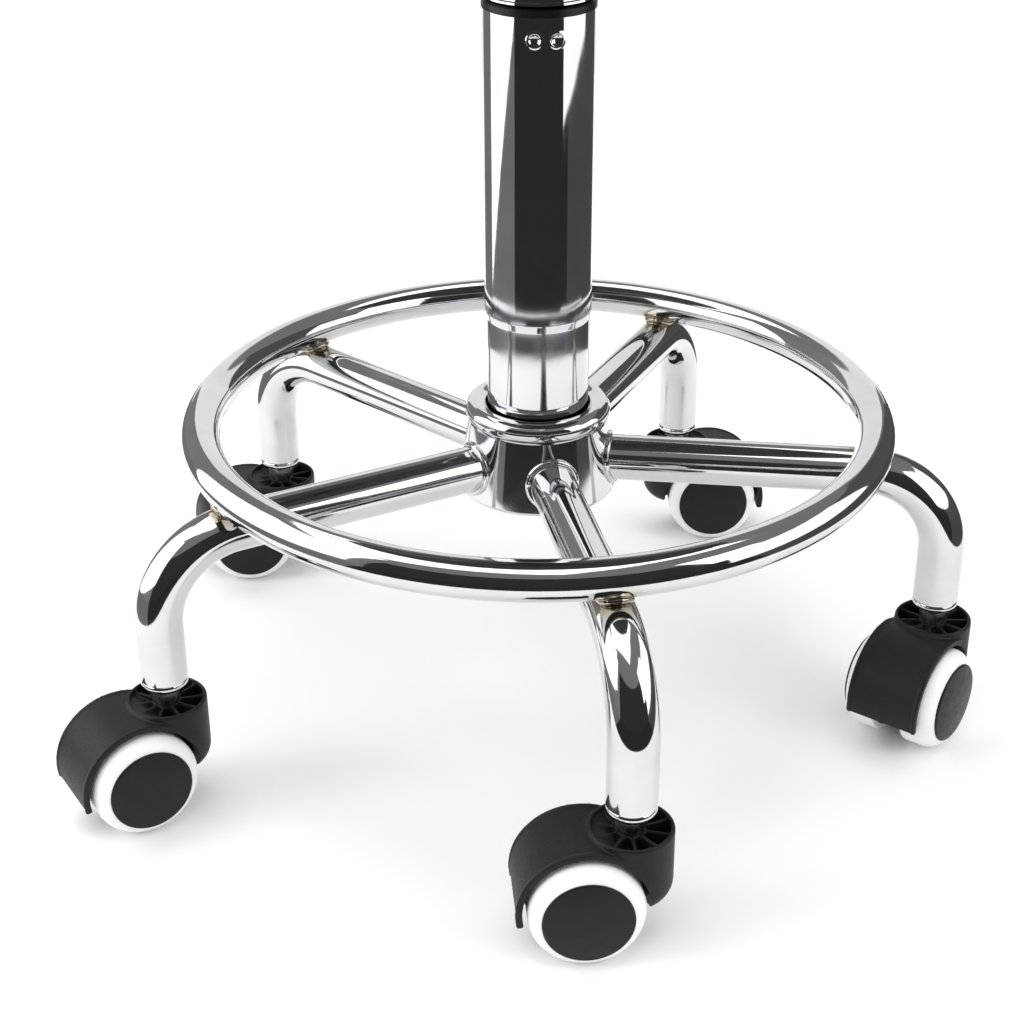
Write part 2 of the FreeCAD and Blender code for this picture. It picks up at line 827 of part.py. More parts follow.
def lever_grip():
    """The moulded handle on the lever's outer end."""
    return turned("lever_grip", [
        ("lever_radius", "grip_start"),
        ("grip_neck_radius", "grip_start"),
        ("grip_radius", "grip_start + 18"),
        ("grip_radius", "grip_end - 5", "5", 1),
        ("grip_radius - 5", "grip_end"),
        ("0", "grip_end"),
        ("0", "lever_length"),
        ("lever_radius", "lever_length"),
    ], lever_frame())


# ---- seat -----------------------------------------------------------------------------------


def seat_board():
    blank = turned("seat_board_blank", [
        ("0", "pan_top"),
        ("board_radius", "pan_top"),
        ("board_radius", "pan_top + board_thickness"),
        ("0", "pan_top + board_thickness"),
    ])
    holes = []
    for index, spot in enumerate(screw_places()):
        hole = cylinder(f"board_hole_{index + 1}", "screw_radius", "board_thickness + 2")
        hole.Placement = spot * place(0, 0, size("pan_top - 1"))
        holes.append(hole)
    return cut("seat_board", blank, holes)


def seat_foam():
    """The foam, which also wraps the board's edge."""
    inside = "seat_radius - vinyl"
    crown = "seat_crown_round - vinyl"
    return turned("seat_foam", [
        ("0", "pan_top + board_thickness"),
        ("board_radius", "pan_top + board_thickness"),
        ("board_radius", "pan_top"),
        (f"{inside} - 2", "pan_top"),
        (inside, "pan_top + 2"),
        (inside, f"seat_top - vinyl - ({crown})", crown, 1),
        (f"{inside} - ({crown})", "seat_top - vinyl"),
        ("0", "seat_top - vinyl"),
    ])


def seat_cover():
    """The vinyl cover: top, side and the hem that is stapled under the board."""
    inside = "seat_radius - vinyl"
    crown = "seat_crown_round - vinyl"
    return turned("seat_cover", [
        ("hem_radius", "pan_top - vinyl"),
        ("seat_radius - 3.5", "pan_top - vinyl", "3.5", 1),
        ("seat_radius", "pan_top - vinyl + 3.5"),
        ("seat_radius", "seat_top - seat_crown_round", "seat_crown_round", 1),
        ("seat_radius - seat_crown_round", "seat_top"),
        ("0", "seat_top"),
        ("0", "seat_top - vinyl"),
        (f"{inside} - ({crown})", "seat_top - vinyl", crown, -1),
        (inside, f"seat_top - vinyl - ({crown})"),
        (inside, "pan_top + 2"),
        (f"{inside} - 2", "pan_top"),
        ("hem_radius", "pan_top"),
    ])


# ---- casters --------------------------------------------------------------------------------


def across(radius_words, half_width, label):
    """A cylinder around the axle, as wide as twice half_width, in the caster's own frame."""
    item = cylinder(label, radius_words, f"2 * ({half_width})")
    item.Placement = place(-size("trail"), size(half_width), size("wheel_radius"), ALONG_X, 90)
    return item


def trim_box(label, start, top):
    """Everything from start forwards and below top, in the caster's own frame."""
    reach = size("trim_reach")
    return box(label, "trim_reach", "trim_reach", "trim_reach", place(start, -reach / 2, size(top) - reach))


def below_hood(label):
    """What is trimmed off under the hood: lower at the back than at the front."""
    back = trim_box(label + "_back", -size("trim_reach + trail"), "fender_back_height")
    front = trim_box(label + "_front", -size("trail"), "hood_front_height")
    return [back, front]


def caster_hood(index):
    """The moulded hood: fender over both wheels, ribbed cup around the stem, web and bosses between."""
    label = f"caster_hood_{index + 1}"
    cup = turned(label + "_cup", [
        ("0", "hood_front_height"),
        ("cup_radius - cup_foot_round", "hood_front_height", "cup_foot_round", 1),
        ("cup_radius", "hood_front_height + cup_foot_round"),
        ("cup_radius", "hood_top - 0.8"),
        ("cup_radius - 0.8", "hood_top"),
        ("0", "hood_top"),
    ])
    nose = trim_box(label + "_fender_nose", -size("trail"), "fender_front_height")
    disc = across("fender_radius", "fender_half_width", label + "_fender_disc")
    fender = cut(label + "_fender", disc, [nose])
    outside = fused(label + "_outside", [fender, cup])
    inner_round = "cup_foot_round - cup_radius + cup_bore"
    hollow = turned(label + "_hollow", [
        ("0", "cup_floor"),
        (f"cup_bore - ({inner_round})", "cup_floor", inner_round, 1),
        ("cup_bore", f"cup_floor + {inner_round}"),
        ("cup_bore", "hood_top + 1"),
        ("0", "hood_top + 1"),
    ])
    pocket = cut(label + "_pocket", hollow,
                 [across("fender_radius", "fender_half_width + 4", label + "_fender_roof")])
    shell = cut(label + "_shell", outside, [pocket])
    ribs = []
    for step in range(int(size("rib_count"))):
        rib = box(f"{label}_rib_{step + 1}", "cup_bore + 0.6 - stem_collar_radius + 2", "rib_thickness",
                  "rib_top - hood_front_height", place())
        turn = place(0, 0, 0, UP, (step + 0.5) * 360 / size("rib_count"))
        rib.Placement = turn * place(
            size("stem_collar_radius - 2"), -size("rib_thickness / 2"), size("hood_front_height")
        )
        ribs.append(rib)
    rib_star = common(label + "_rib_star", fused(label + "_ribs", ribs), outside)
    ribbed = fused(label + "_ribbed", [shell, rib_star])
    well = across("fender_bore", "fender_half_width + 6", label + "_well")
    arched = cut(label + "_arched", ribbed, [well] + below_hood(label + "_trim"))
    web = cut(label + "_web", across("fender_bore + 0.5", "web_half_width", label + "_web_disc"),
              below_hood(label + "_web_trim"))
    boss = cylinder(label + "_boss", "boss_radius", "rib_top - boss_bottom")
    boss.Placement = place(0, 0, size("boss_bottom"))
    axle_boss = across("axle_boss_radius", "axle_boss_half_width", label + "_axle_boss")
    moulded = fused(label + "_moulded", [arched, web, boss, axle_boss])
    bore_height = "hood_top - stem_bottom + tool_overrun"
    stem_bore = cylinder(label + "_stem_bore", "stem_foot_radius + rod_clearance", bore_height)
    stem_bore.Placement = place(0, 0, size("stem_bottom") - 0.5)
    axle_bore = across("axle_radius", "axle_boss_half_width + 2", label + "_axle_bore")
    hood = cut(label, moulded, [stem_bore, axle_bore])
    hood.Placement = caster_place(index)
    return hood


def caster_axle(index):
    axle = across("axle_radius", "axle_reach", f"caster_axle_{index + 1}")
    axle.Placement = caster_place(index) * axle.Placement
    return axle


def wheel_place(index, side):
    """The frame of one wheel: +Z outwards along the axle, from the caster's middle plane."""
    return caster_place(index) * place(-size("trail"), 0, size("wheel_radius"), ALONG_X, 90 * side)


def wheel_tread(index, side, name):
    """The pale polyurethane tyre: a flat tread that rounds over onto the wheel's face."""
    return turned(f"wheel_tread_{index + 1}{name}", [
        ("rim_radius", "wheel_inner_face"),
        ("wheel_radius - 1.2", "wheel_inner_face", "1.2", 1),
        ("wheel_radius", "wheel_inner_face + 1.2"),
        ("wheel_radius", "tread_side", "tread_round", 1),
        ("cap_radius", "wheel_outer_face"),
        ("cap_radius", "wheel_outer_face - 3"),
        ("rim_radius", "wheel_outer_face - 5"),
    ], wheel_place(index, side))


def wheel_core(index, side, name):
    """The black wheel centre: hub, web, rim and the domed cap that closes the face."""
    return turned(f"wheel_core_{index + 1}{name}", [
        ("axle_radius + rod_clearance", "wheel_inner_face"),
        ("wheel_hub_radius", "wheel_inner_face"),
        ("wheel_hub_radius", "web_plane"),
        ("rim_radius - 2.2", "web_plane"),
        ("rim_radius - 2.2", "wheel_inner_face + 0.4"),
        ("rim_radius", "wheel_inner_face + 0.4"),
        ("rim_radius", "wheel_outer_face - 5"),
        ("cap_radius", "wheel_outer_face - 3"),
        ("cap_radius", "cap_face - 0.5"),
        ("cap_radius - 0.5", "cap_face", "cap_dome", 1),
        ("cap_flat_radius", "cap_crown"),
        ("0", "cap_crown"),
        ("0", "axle_reach + 0.5"),
        ("axle_radius + rod_clearance", "axle_reach + 0.5"),
    ], wheel_place(index, side))


# ---- the assembly ---------------------------------------------------------------------------


def build():
    cope = leg_cope()
    node(hub_shell())
    node(hub_socket())
    legs = range(int(size("leg_count")))
    for index in legs:
        node(leg(index, cope))
    for make in (foot_ring, stem_sockets, caster_stems, column_tube, guide_sleeve, thrust_bearing,
                 piston_rod, piston, rod_clip, pressure_tube, rod_seal, release_button, lift_cover,
                 cone_socket, mechanism_pan, seat_screws, lever_rod, lever_pin, lever_grip,
                 seat_board, seat_foam, seat_cover):
        node(make())
    node(weld_beads(cope))
    for index in legs:
        node(caster_hood(index))
        node(caster_axle(index))
        for side, name in ((1, "a"), (-1, "b")):
            node(wheel_tread(index, side, name))
            node(wheel_core(index, side, name))


def check():
    """Stop on any object that failed to compute, and on any sub-part that isn't a valid solid."""
    for item in doc.Objects:
        if "Invalid" in item.State or "Error" in item.State:
            raise RuntimeError(f"{item.Name} failed: {item.State}")
    for item in nodes:
        shape = item.Shape
        if shape.isNull() or not shape.isValid() or not shape.Solids:
            raise RuntimeError(f"{item.Label} has no valid solid")


def export():
    os.makedirs(EXPORT_FOLDER, exist_ok=True)
    for item in nodes:
        item.Shape.exportStep(os.path.join(EXPORT_FOLDER, item.Label + ".step"))


build()
doc.recompute()
check()
export()
print(len(nodes), "sub-parts written")
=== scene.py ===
import json
import math

import bmesh
import bpy
import numpy as np
from mathutils import Matrix, Vector, noise


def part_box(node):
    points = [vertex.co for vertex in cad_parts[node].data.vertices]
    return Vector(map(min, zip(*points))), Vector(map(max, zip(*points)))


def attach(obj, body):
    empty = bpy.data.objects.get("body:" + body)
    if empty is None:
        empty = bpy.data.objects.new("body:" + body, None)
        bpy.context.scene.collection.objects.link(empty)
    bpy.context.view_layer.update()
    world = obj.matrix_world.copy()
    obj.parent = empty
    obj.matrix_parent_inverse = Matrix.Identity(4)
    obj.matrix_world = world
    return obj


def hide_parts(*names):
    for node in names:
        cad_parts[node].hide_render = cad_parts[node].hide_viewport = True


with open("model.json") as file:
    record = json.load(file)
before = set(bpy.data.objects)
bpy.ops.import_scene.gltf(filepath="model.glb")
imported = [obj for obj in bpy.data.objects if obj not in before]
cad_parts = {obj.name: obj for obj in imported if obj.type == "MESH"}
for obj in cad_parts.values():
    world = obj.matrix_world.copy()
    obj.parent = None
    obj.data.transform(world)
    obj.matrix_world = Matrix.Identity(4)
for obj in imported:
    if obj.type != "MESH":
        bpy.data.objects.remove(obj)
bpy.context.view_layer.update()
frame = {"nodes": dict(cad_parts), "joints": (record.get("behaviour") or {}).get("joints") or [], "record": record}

MM = 0.001
TURN = 2 * math.pi

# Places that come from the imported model.
JOINTS = {joint["name"]: joint for joint in frame["joints"]}
CASTER_COUNT = 5
RING_LOW, RING_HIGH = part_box("foot_ring")
RING_TUBE = (RING_HIGH.z - RING_LOW.z) / 2
RING_RADIUS = RING_HIGH.x - RING_TUBE
RING_HEIGHT = (RING_HIGH.z + RING_LOW.z) / 2
COVER_LOW, COVER_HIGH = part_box("seat_cover")
SEAT_RADIUS = COVER_HIGH.x
SEAT_TOP = COVER_HIGH.z
SEAT_BOTTOM = COVER_LOW.z
FIRST_LEG = math.radians(18 - 90)
LEG_STEP = TURN / CASTER_COUNT

# Sizes in millimetres that the details are worked out from. Leg 5 points along +X.
LEG_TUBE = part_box("leg_5")[1].y / MM
LEG_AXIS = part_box("leg_5")[1].z / MM - LEG_TUBE
HUB_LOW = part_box("hub_shell")[0].z / MM + 2
HUB_FOOT_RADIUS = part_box("hub_shell")[1].x / MM
HUB_SHOULDER_RADIUS = HUB_FOOT_RADIUS - 3.8
HUB_RISE = 34
ROOT_BEAD = 1.45
SADDLE_BEAD = 1.5
SADDLE_ALONG_LEG = 5.0
SADDLE_ALONG_RING = 6.6
COLUMN_RADIUS = 25
COLUMN_WALL = 1.8
COLUMN_FOOT_RADIUS = COLUMN_RADIUS - 1.4
COLUMN_FOOT_BORE = COLUMN_RADIUS - 6
NECK_RADIUS = 24.3
NECK_HEIGHT = 206
DIMPLE_BELOW_TOP = 9.5
DIMPLE_REACH = 8
TRAIL = 20
WHEEL_HEIGHT = 25
LIP_OUTLINE = ((27.0, 16.4), (29.9, 16.4), (30.1, 17.0), (29.9, 18.2), (27.0, 18.2))
CUSHION_INSET = 3
CUSHION_START_DROP = 5
CUSHION_START_ROUND = 17
SEAM_BELOW_TOP = 15
HEM_RADIUS = 150
HEM_INSET = 5
HEM_THICKNESS = 1.3
STAPLE_WIRE = 0.45
GRIP_LENGTH = 58
GRIP_RADIUS = 7.5
GROOVE_RADIUS = 6.9
GROOVE_STEP = 5

# Sizes in metres.
JOINT_TINT_REACH = 0.024
HOOD_VOXEL = 0.55 * MM
CUSHION_VOXEL = 0.005
CUSHION_RISE = 8 * MM
SIDE_SWELL = 0.0016
SIDE_UNEVENNESS = 0.0009
SEAM_PULL = 0.0020
WELT_RADIUS = 0.0021

# Angles in degrees.
DIMPLE_ANGLES = (2, 24)
LIP_ARC = (52, 192)
LEVER_DROP = 7

SIMULATED_FRAMES = 20

# The main view's camera: a little to the right of the stool's front, above it, without a shift.
CAMERA_DISTANCE = 0.8447
CAMERA_HEIGHT = 0.5458
CAMERA_SIDE = math.radians(6.42)
CAMERA_YAW = math.radians(-0.85)
CAMERA_PITCH = math.radians(27.75)
CAMERA_ROLL = math.radians(-0.2)
CAMERA_LENS = 68.0
SENSOR_WIDTH = 36

# The studio, in metres.
LIGHT_TARGET = (0, 0, 0.2)
FLOOR_REACH = 14
CARD_FLOOR_START = 0.45
CARD_FLOOR_LIFT = 0.001
ROOM_RADIUS = 2.6
ROOM_HEIGHT = 2.0
PANEL_DISTANCE = 0.6
PALE_WORLD = 0.82
DIM_ROOM = 0.22


# ---- node helpers ---------------------------------------------------------------------------


class Shader:
    """A Principled material under construction: short calls for the nodes that detail it."""

    def __init__(self, name, **uniform):
        self.material = bpy.data.materials.new(name)
        self.material.use_nodes = True
        self.tree = self.material.node_tree
        self.surface = self.tree.nodes["Principled BSDF"]
        self.place = self.node("ShaderNodeTexCoord").outputs["Object"]
        for key, value in uniform.items():
            self.surface.inputs[key.replace("_", " ")].default_value = value

    def node(self, kind, **settings):
        made = self.tree.nodes.new(kind)
        for key, value in settings.items():
            setattr(made, key, value)
        return made

    def join(self, source, target):
        self.tree.links.new(source, target)

    def feed(self, made, socket, value):
        """Link a socket to value, or set it where value is a plain number or colour."""
        if isinstance(value, bpy.types.NodeSocket):
            self.join(value, made.inputs[socket])
        else:
            made.inputs[socket].default_value = value

    def math(self, operation, first, second=0.0, third=0.0):
        made = self.node("ShaderNodeMath", operation=operation)
        for socket, value in enumerate((first, second, third)):
            self.feed(made, socket, value)
        return made.outputs[0]

    def stretched(self, scale):
        made = self.node("ShaderNodeMapping")
        self.join(self.place, made.inputs["Vector"])
        made.inputs["Scale"].default_value = scale
        return made.outputs["Vector"]

    def noise(self, scale, detail=3.0, roughness=0.5, where=None, distortion=0.0):
        made = self.node("ShaderNodeTexNoise")
        self.join(where or self.place, made.inputs["Vector"])
        made.inputs["Scale"].default_value = scale
        made.inputs["Detail"].default_value = detail
        made.inputs["Roughness"].default_value = roughness
        made.inputs["Distortion"].default_value = distortion
        return made.outputs["Fac"]

    def cells(self, scale, feature="F1"):
        made = self.node("ShaderNodeTexVoronoi", feature=feature)
        self.join(self.place, made.inputs["Vector"])
        made.inputs["Scale"].default_value = scale
        return made.outputs["Distance"]

    def span(self, value, low, high, to_low, to_high):
        made = self.node("ShaderNodeMapRange")
        self.join(value, made.inputs["Value"])
        limits = {"From Min": low, "From Max": high, "To Min": to_low, "To Max": to_high}
        for key, number in limits.items():
            made.inputs[key].default_value = number
        return made.outputs["Result"]

    def ramp(self, value, *stops):
        made = self.node("ShaderNodeValToRGB")
        self.join(value, made.inputs["Fac"])
        elements = made.color_ramp.elements
        while len(elements) < len(stops):
            elements.new(1.0)
        for element, (position, colour) in zip(elements, stops):
            element.position = position
            element.color = (*colour, 1.0)
        return made.outputs["Color"]

    def mix(self, factor, first, second):
        made = self.node("ShaderNodeMix", data_type="RGBA")
        self.feed(made, 0, factor)
        for socket, value in ((6, first), (7, second)):
            linked = isinstance(value, bpy.types.NodeSocket)
            self.feed(made, socket, value if linked else (*value, 1.0))
        return made.outputs[2]

    def colour(self, source):
        self.join(source, self.surface.inputs["Base Color"])

    def roughness(self, source):
        self.join(source, self.surface.inputs["Roughness"])

    def bump(self, height, distance, strength=1.0):
        """Add a bump layer; layers chain, the last one added on top."""
        made = self.node("ShaderNodeBump")
        made.inputs["Distance"].default_value = distance
        made.inputs["Strength"].default_value = strength
        self.join(height, made.inputs["Height"])
        target = self.surface.inputs["Normal"]
        if target.is_linked:
            self.join(target.links[0].from_socket, made.inputs["Normal"])
        self.join(made.outputs["Normal"], target)


def near_leg(shader, radius, height, reach):
    """1 at a point repeated over every leg, falling to 0 at reach from it."""
    split = shader.node("ShaderNodeSeparateXYZ")
    shader.join(shader.place, split.inputs["Vector"])
    x, y, z = split.outputs
    squares = shader.math("ADD", shader.math("MULTIPLY", x, x), shader.math("MULTIPLY", y, y))
    out = shader.math("SQRT", squares)
    turned = shader.math("SUBTRACT", shader.math("ARCTAN2", y, x), FIRST_LEG)
    folded = shader.math("WRAP", turned, LEG_STEP / 2, -LEG_STEP / 2)
    sideways = shader.math("MULTIPLY", folded, out)
    away = 0.0
    across = shader.math("SUBTRACT", out, radius)
    rise = shader.math("SUBTRACT", z, height)
    for part in (sideways, across, rise):
        away = shader.math("MULTIPLY_ADD", part, part, away)
    return shader.span(shader.math("SQRT", away), 0.0, reach, 1.0, 0.0)


# ---- materials ------------------------------------------------------------------------------


def chrome(name, joint_tinted=False):
    """Bright chromium plate over polished tube: faint waviness, smudges and hairline scratches."""
    made = Shader(name, Metallic=1.0)
    smudge = made.noise(26, 5, 0.6, distortion=0.4)
    tone = made.ramp(smudge, (0.35, (0.64, 0.65, 0.665)), (0.7, (0.72, 0.73, 0.74)))
    gloss = made.span(smudge, 0.35, 0.75, 0.04, 0.10)
    if joint_tinted:
        # Around the bottom of the ring where it sits on each leg, the chrome's colour is multiplied towards straw,
        # then brown, then nearly black nearest the joint, and it is made rougher there.
        joint_tint = near_leg(made, RING_RADIUS, RING_HEIGHT - RING_TUBE, JOINT_TINT_REACH)
        ragged = made.math("MULTIPLY_ADD", made.noise(160, 4, 0.6), 0.5, joint_tint)
        tint_colours = made.ramp(
            made.span(ragged, 0.6, 1.5, 0.0, 1.0),
            (0.0, (1.0, 1.0, 1.0)),
            (0.3, (0.90, 0.84, 0.72)),
            (0.62, (0.42, 0.33, 0.25)),
            (0.95, (0.12, 0.09, 0.075)),
        )
        tint = made.node("ShaderNodeMix", data_type="RGBA", blend_type="MULTIPLY")
        tint.inputs[0].default_value = 1.0
        made.join(tone, tint.inputs[6])
        made.join(tint_colours, tint.inputs[7])
        tone = tint.outputs[2]
        gloss = made.math("ADD", gloss, made.span(ragged, 0.8, 1.5, 0.0, 0.35))
    made.colour(tone)
    made.roughness(gloss)
    made.bump(made.noise(38, 2, 0.4), 0.00022, 0.35)
    made.bump(made.noise(900, 2, 0.5, where=made.stretched((1, 1, 0.06))), 0.00001, 0.25)
    return made.material


def steel(name):
    """Zinc-plated or ground steel: fine turning marks and a mottled passivation."""
    tone = (0.56, 0.56, 0.57)
    made = Shader(name, Metallic=1.0)
    mottle = made.noise(140, 4, 0.6)
    darker = tuple(channel * 0.72 for channel in tone)
    made.colour(made.ramp(mottle, (0.3, darker), (0.7, tone)))
    made.roughness(made.span(mottle, 0.2, 0.8, 0.2, 0.38))
    made.bump(made.noise(60, 2, 0.5, where=made.stretched((1, 1, 60))), 0.00004, 0.5)
    return made.material


def textured_plastic(name, tone, grain=1400, depth=0.00009, gloss=(0.42, 0.6)):
    """Moulded nylon with a spark-eroded grain."""
    made = Shader(name, Specular_IOR_Level=0.28)
    speckle = made.noise(grain, 2, 0.6)
    drift = made.noise(30, 3, 0.5)
    brighter = tuple(channel * 1.5 for channel in tone)
    made.colour(made.ramp(drift, (0.3, tone), (0.75, brighter)))
    made.roughness(made.span(speckle, 0.3, 0.7, *gloss))
    made.bump(speckle, depth, 0.8)
    made.bump(made.noise(90, 2, 0.4), 0.0001, 0.3)
    return made.material


def cap_plastic(name):
    """The smoother satin black of the wheel caps, with a few fine scuffs."""
    made = Shader(name, Specular_IOR_Level=0.28)
    drift = made.noise(45, 3, 0.5)
    made.colour(made.ramp(drift, (0.3, (0.005, 0.005, 0.006)), (0.75, (0.009, 0.009, 0.010))))
    scuffs = made.noise(350, 4, 0.7, where=made.stretched((1, 0.25, 1)))
    made.roughness(made.span(scuffs, 0.3, 0.75, 0.34, 0.55))
    made.bump(made.noise(1100, 2, 0.5), 0.00004, 0.6)
    return made.material


def polyurethane(name):
    """White cast tyre: slightly translucent, a little greyed and scuffed where it rolls."""
    made = Shader(name, Subsurface_Weight=0.12, Subsurface_Scale=0.002)
    dirt = made.noise(90, 5, 0.65, distortion=0.6)
    made.colour(made.ramp(
        dirt,
        (0.25, (0.80, 0.80, 0.79)),
        (0.45, (0.87, 0.87, 0.865)),
        (0.8, (0.90, 0.90, 0.895)),
    ))
    made.roughness(made.span(dirt, 0.3, 0.7, 0.46, 0.34))
    made.bump(made.noise(420, 3, 0.5), 0.00005, 0.5)
    return made.material


def vinyl(name):
    """Black upholstery vinyl with a pebbled grain and a soft sheen."""
    made = Shader(name, Specular_IOR_Level=0.5, Coat_Weight=0.12, Coat_Roughness=0.3)
    warp = made.noise(60, 3, 0.5)
    pebble = made.cells(620, "SMOOTH_F1")
    crease = made.cells(250, "DISTANCE_TO_EDGE")
    made.colour(made.ramp(warp, (0.3, (0.012, 0.012, 0.013)), (0.75, (0.020, 0.020, 0.022))))
    made.roughness(made.span(pebble, 0.0, 0.7, 0.42, 0.3))
    made.bump(made.math("MULTIPLY", pebble, -1.0), 0.00018, 0.55)
    made.bump(made.span(crease, 0.0, 0.08, 0.0, 1.0), 0.00012, 0.4)
    return made.material


def powder_coat(name):
    """Satin black powder coat with a fine orange peel."""
    made = Shader(name, Specular_IOR_Level=0.5)
    peel = made.noise(700, 2, 0.4)
    drift = made.noise(24, 3, 0.5)
    made.colour(made.ramp(drift, (0.3, (0.013, 0.013, 0.014)), (0.8, (0.024, 0.024, 0.025))))
    made.roughness(made.span(drift, 0.2, 0.8, 0.3, 0.42))
    made.bump(peel, 0.00008, 0.6)
    return made.material


def plywood(name):
    """Black-stained birch plywood, its grain along X."""
    made = Shader(name)
    grain = made.noise(9, 6, 0.6, where=made.stretched((1.0, 14.0, 14.0)), distortion=1.2)
    pores = made.noise(140, 3, 0.6, where=made.stretched((0.08, 1.0, 1.0)))
    wood = made.ramp(
        grain,
        (0.3, (0.012, 0.011, 0.010)),
        (0.52, (0.022, 0.019, 0.017)),
        (0.75, (0.040, 0.034, 0.030)),
    )
    made.colour(made.mix(made.span(pores, 0.55, 0.75, 0.0, 0.5), wood, (0.006, 0.005, 0.005)))
    made.roughness(made.span(pores, 0.3, 0.7, 0.7, 0.5))
    made.bump(pores, 0.00015, 0.5)
    return made.material


def foam(name):
    """Cut polyurethane foam, open-celled and a little yellowed."""
    made = Shader(name, Roughness=0.9)
    yellowing = made.noise(300, 4, 0.7)
    made.colour(made.ramp(yellowing, (0.3, (0.62, 0.56, 0.40)), (0.7, (0.80, 0.76, 0.62))))
    made.bump(made.cells(500), 0.0005, 0.8)
    return made.material


MATERIALS = {
    "chrome": chrome("chrome"),
    "joint_tinted_chrome": chrome("joint_tinted_chrome", joint_tinted=True),
    "steel": steel("zinc_steel"),
    "hood_plastic": textured_plastic("hood_plastic", (0.007, 0.007, 0.008)),
    "cap_plastic": cap_plastic("cap_plastic"),
    "grip_plastic": textured_plastic("grip_plastic", (0.007, 0.007, 0.008), 900, 0.0001),
    "collar_plastic": textured_plastic(
        "collar_plastic", (0.006, 0.006, 0.007), 500, 0.00004, (0.3, 0.4)
    ),
    "polyurethane": polyurethane("white_polyurethane"),
    "rubber": textured_plastic("seal_rubber", (0.02, 0.02, 0.02), 600, 0.00005, (0.55, 0.7)),
    "powder_coat": powder_coat("black_powder_coat"),
    "plywood": plywood("plywood"),
    "foam": foam("foam"),
    "vinyl": vinyl("black_vinyl"),
}

# The material of each packed slot, and the nodes that take another one.
SLOT_MATERIALS = {
    "chrome": "chrome",
    "steel": "steel",
    "black_enamel": "powder_coat",
    "black_plastic": "hood_plastic",
    "white_polyurethane": "polyurethane",
    "seal_rubber": "rubber",
    "plywood": "plywood",
    "foam": "foam",
    "vinyl": "vinyl",
}
NODE_MATERIALS = {
    "leg_": "joint_tinted_chrome",
    "foot_ring": "joint_tinted_chrome",
    "weld_beads": "joint_tinted_chrome",
    "wheel_core_": "cap_plastic",
    "lever_grip": "grip_plastic",
    "guide_sleeve": "collar_plastic",
}


def dress_nodes():
    """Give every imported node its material."""
    slots = {part["node"]: part["material_slot"] for part in frame["record"]["subparts"]}
    for name, obj in frame["nodes"].items():
        choice = SLOT_MATERIALS[slots[name]]
        for start, special in NODE_MATERIALS.items():
            if name.startswith(start):
                choice = special
        obj.data.materials.clear()
        obj.data.materials.append(MATERIALS[choice])


# ---- mesh helpers ---------------------------------------------------------------------------


def placed(name, data):
    """A new object in the scene."""
    obj = bpy.data.objects.new(name, data)
    bpy.context.scene.collection.objects.link(obj)
    return obj


def add_piece(name, mesh, material, body, matrix=None):
    """A shown piece: smooth shaded, with its material, riding on a body."""
    obj = placed(name, mesh)
    mesh.materials.clear()
    mesh.materials.append(MATERIALS[material])
    mesh.polygons.foreach_set("use_smooth", [True] * len(mesh.polygons))
    if matrix:
        obj.matrix_world = matrix
    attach(obj, body)
    return obj


def grid_mesh(name, points, wrap_rows=False):
    """A quad mesh over a rows by columns array of points, its columns joined up in a loop."""
    rows, columns = points.shape[:2]
    faces = []
    for row in range(rows if wrap_rows else rows - 1):
        below = (row + 1) % rows
        for column in range(columns):
            beside = (column + 1) % columns
            faces.append((
                row * columns + column,
                row * columns + beside,
                below * columns + beside,
                below * columns + column,
            ))
    mesh = bpy.data.meshes.new(name)
    mesh.from_pydata(points.reshape(-1, 3).tolist(), [], faces)
    return mesh


def rounded(corners, steps=5):
    """An outline of (x, y, rounding) corners with each rounded corner filleted by an arc."""
    line = []
    count = len(corners)
    for index, (x, y, radius) in enumerate(corners):
        here = Vector((x, y))
        if radius == 0 or index in (0, count - 1):
            line.append(here)
            continue
        before = (Vector(corners[index - 1][:2]) - here).normalized()
        after = (Vector(corners[index + 1][:2]) - here).normalized()
        half = before.angle(after) / 2
        away = radius / math.tan(half)
        centre = here + (before + after).normalized() * (radius / math.sin(half))
        start = here + before * away - centre
        finish = here + after * away - centre
        for step in range(steps + 1):
            outward = start.slerp(finish, step / steps).normalized()
            line.append(centre + outward * radius)
    return line


def lathe(name, corners, segments=96, steps=5):
    """A surface of revolution about Z from an outline in millimetres."""
    line = rounded(corners, steps)
    angles = np.arange(segments) * TURN / segments
    points = np.array([
        [(spot.x * math.cos(a) * MM, spot.x * math.sin(a) * MM, spot.y * MM) for a in angles]
        for spot in line
    ])
    mesh = grid_mesh(name, points)
    clean(mesh)
    return mesh


def clean(mesh, distance=1e-6):
    """Weld coincident points and turn every face outwards."""
    work = bmesh.new()
    work.from_mesh(mesh)
    bmesh.ops.remove_doubles(work, verts=work.verts, dist=distance)
    bmesh.ops.recalc_face_normals(work, faces=work.faces)
    work.to_mesh(mesh)
    work.free()


def tube_along(name, path, radii, sides=12):
    """A closed loop tube, its radius given point by point."""
    path = np.asarray(path)
    ahead = np.roll(path, -1, axis=0) - np.roll(path, 1, axis=0)
    ahead /= np.linalg.norm(ahead, axis=1)[:, None]
    centre = path.mean(axis=0)
    outward = path - centre
    outward -= (outward * ahead).sum(axis=1)[:, None] * ahead
    outward /= np.linalg.norm(outward, axis=1)[:, None]
    across = np.cross(ahead, outward)
    turns = np.arange(sides) * TURN / sides
    points = (
        path[:, None, :]
        + radii[:, None, None] * np.cos(turns)[None, :, None] * outward[:, None, :]
        + radii[:, None, None] * np.sin(turns)[None, :, None] * across[:, None, :]
    )
    mesh = grid_mesh(name, points, wrap_rows=True)
    clean(mesh)
    return mesh


def joined(name, meshes):
    """One mesh of several, each given as a (mesh, matrix) pair."""
    work = bmesh.new()
    for mesh, matrix in meshes:
        before = len(work.verts)
        work.from_mesh(mesh)
        work.verts.ensure_lookup_table()
        bmesh.ops.transform(work, matrix=matrix, verts=work.verts[before:])
    out = bpy.data.meshes.new(name)
    work.to_mesh(out)
    work.free()
    return out


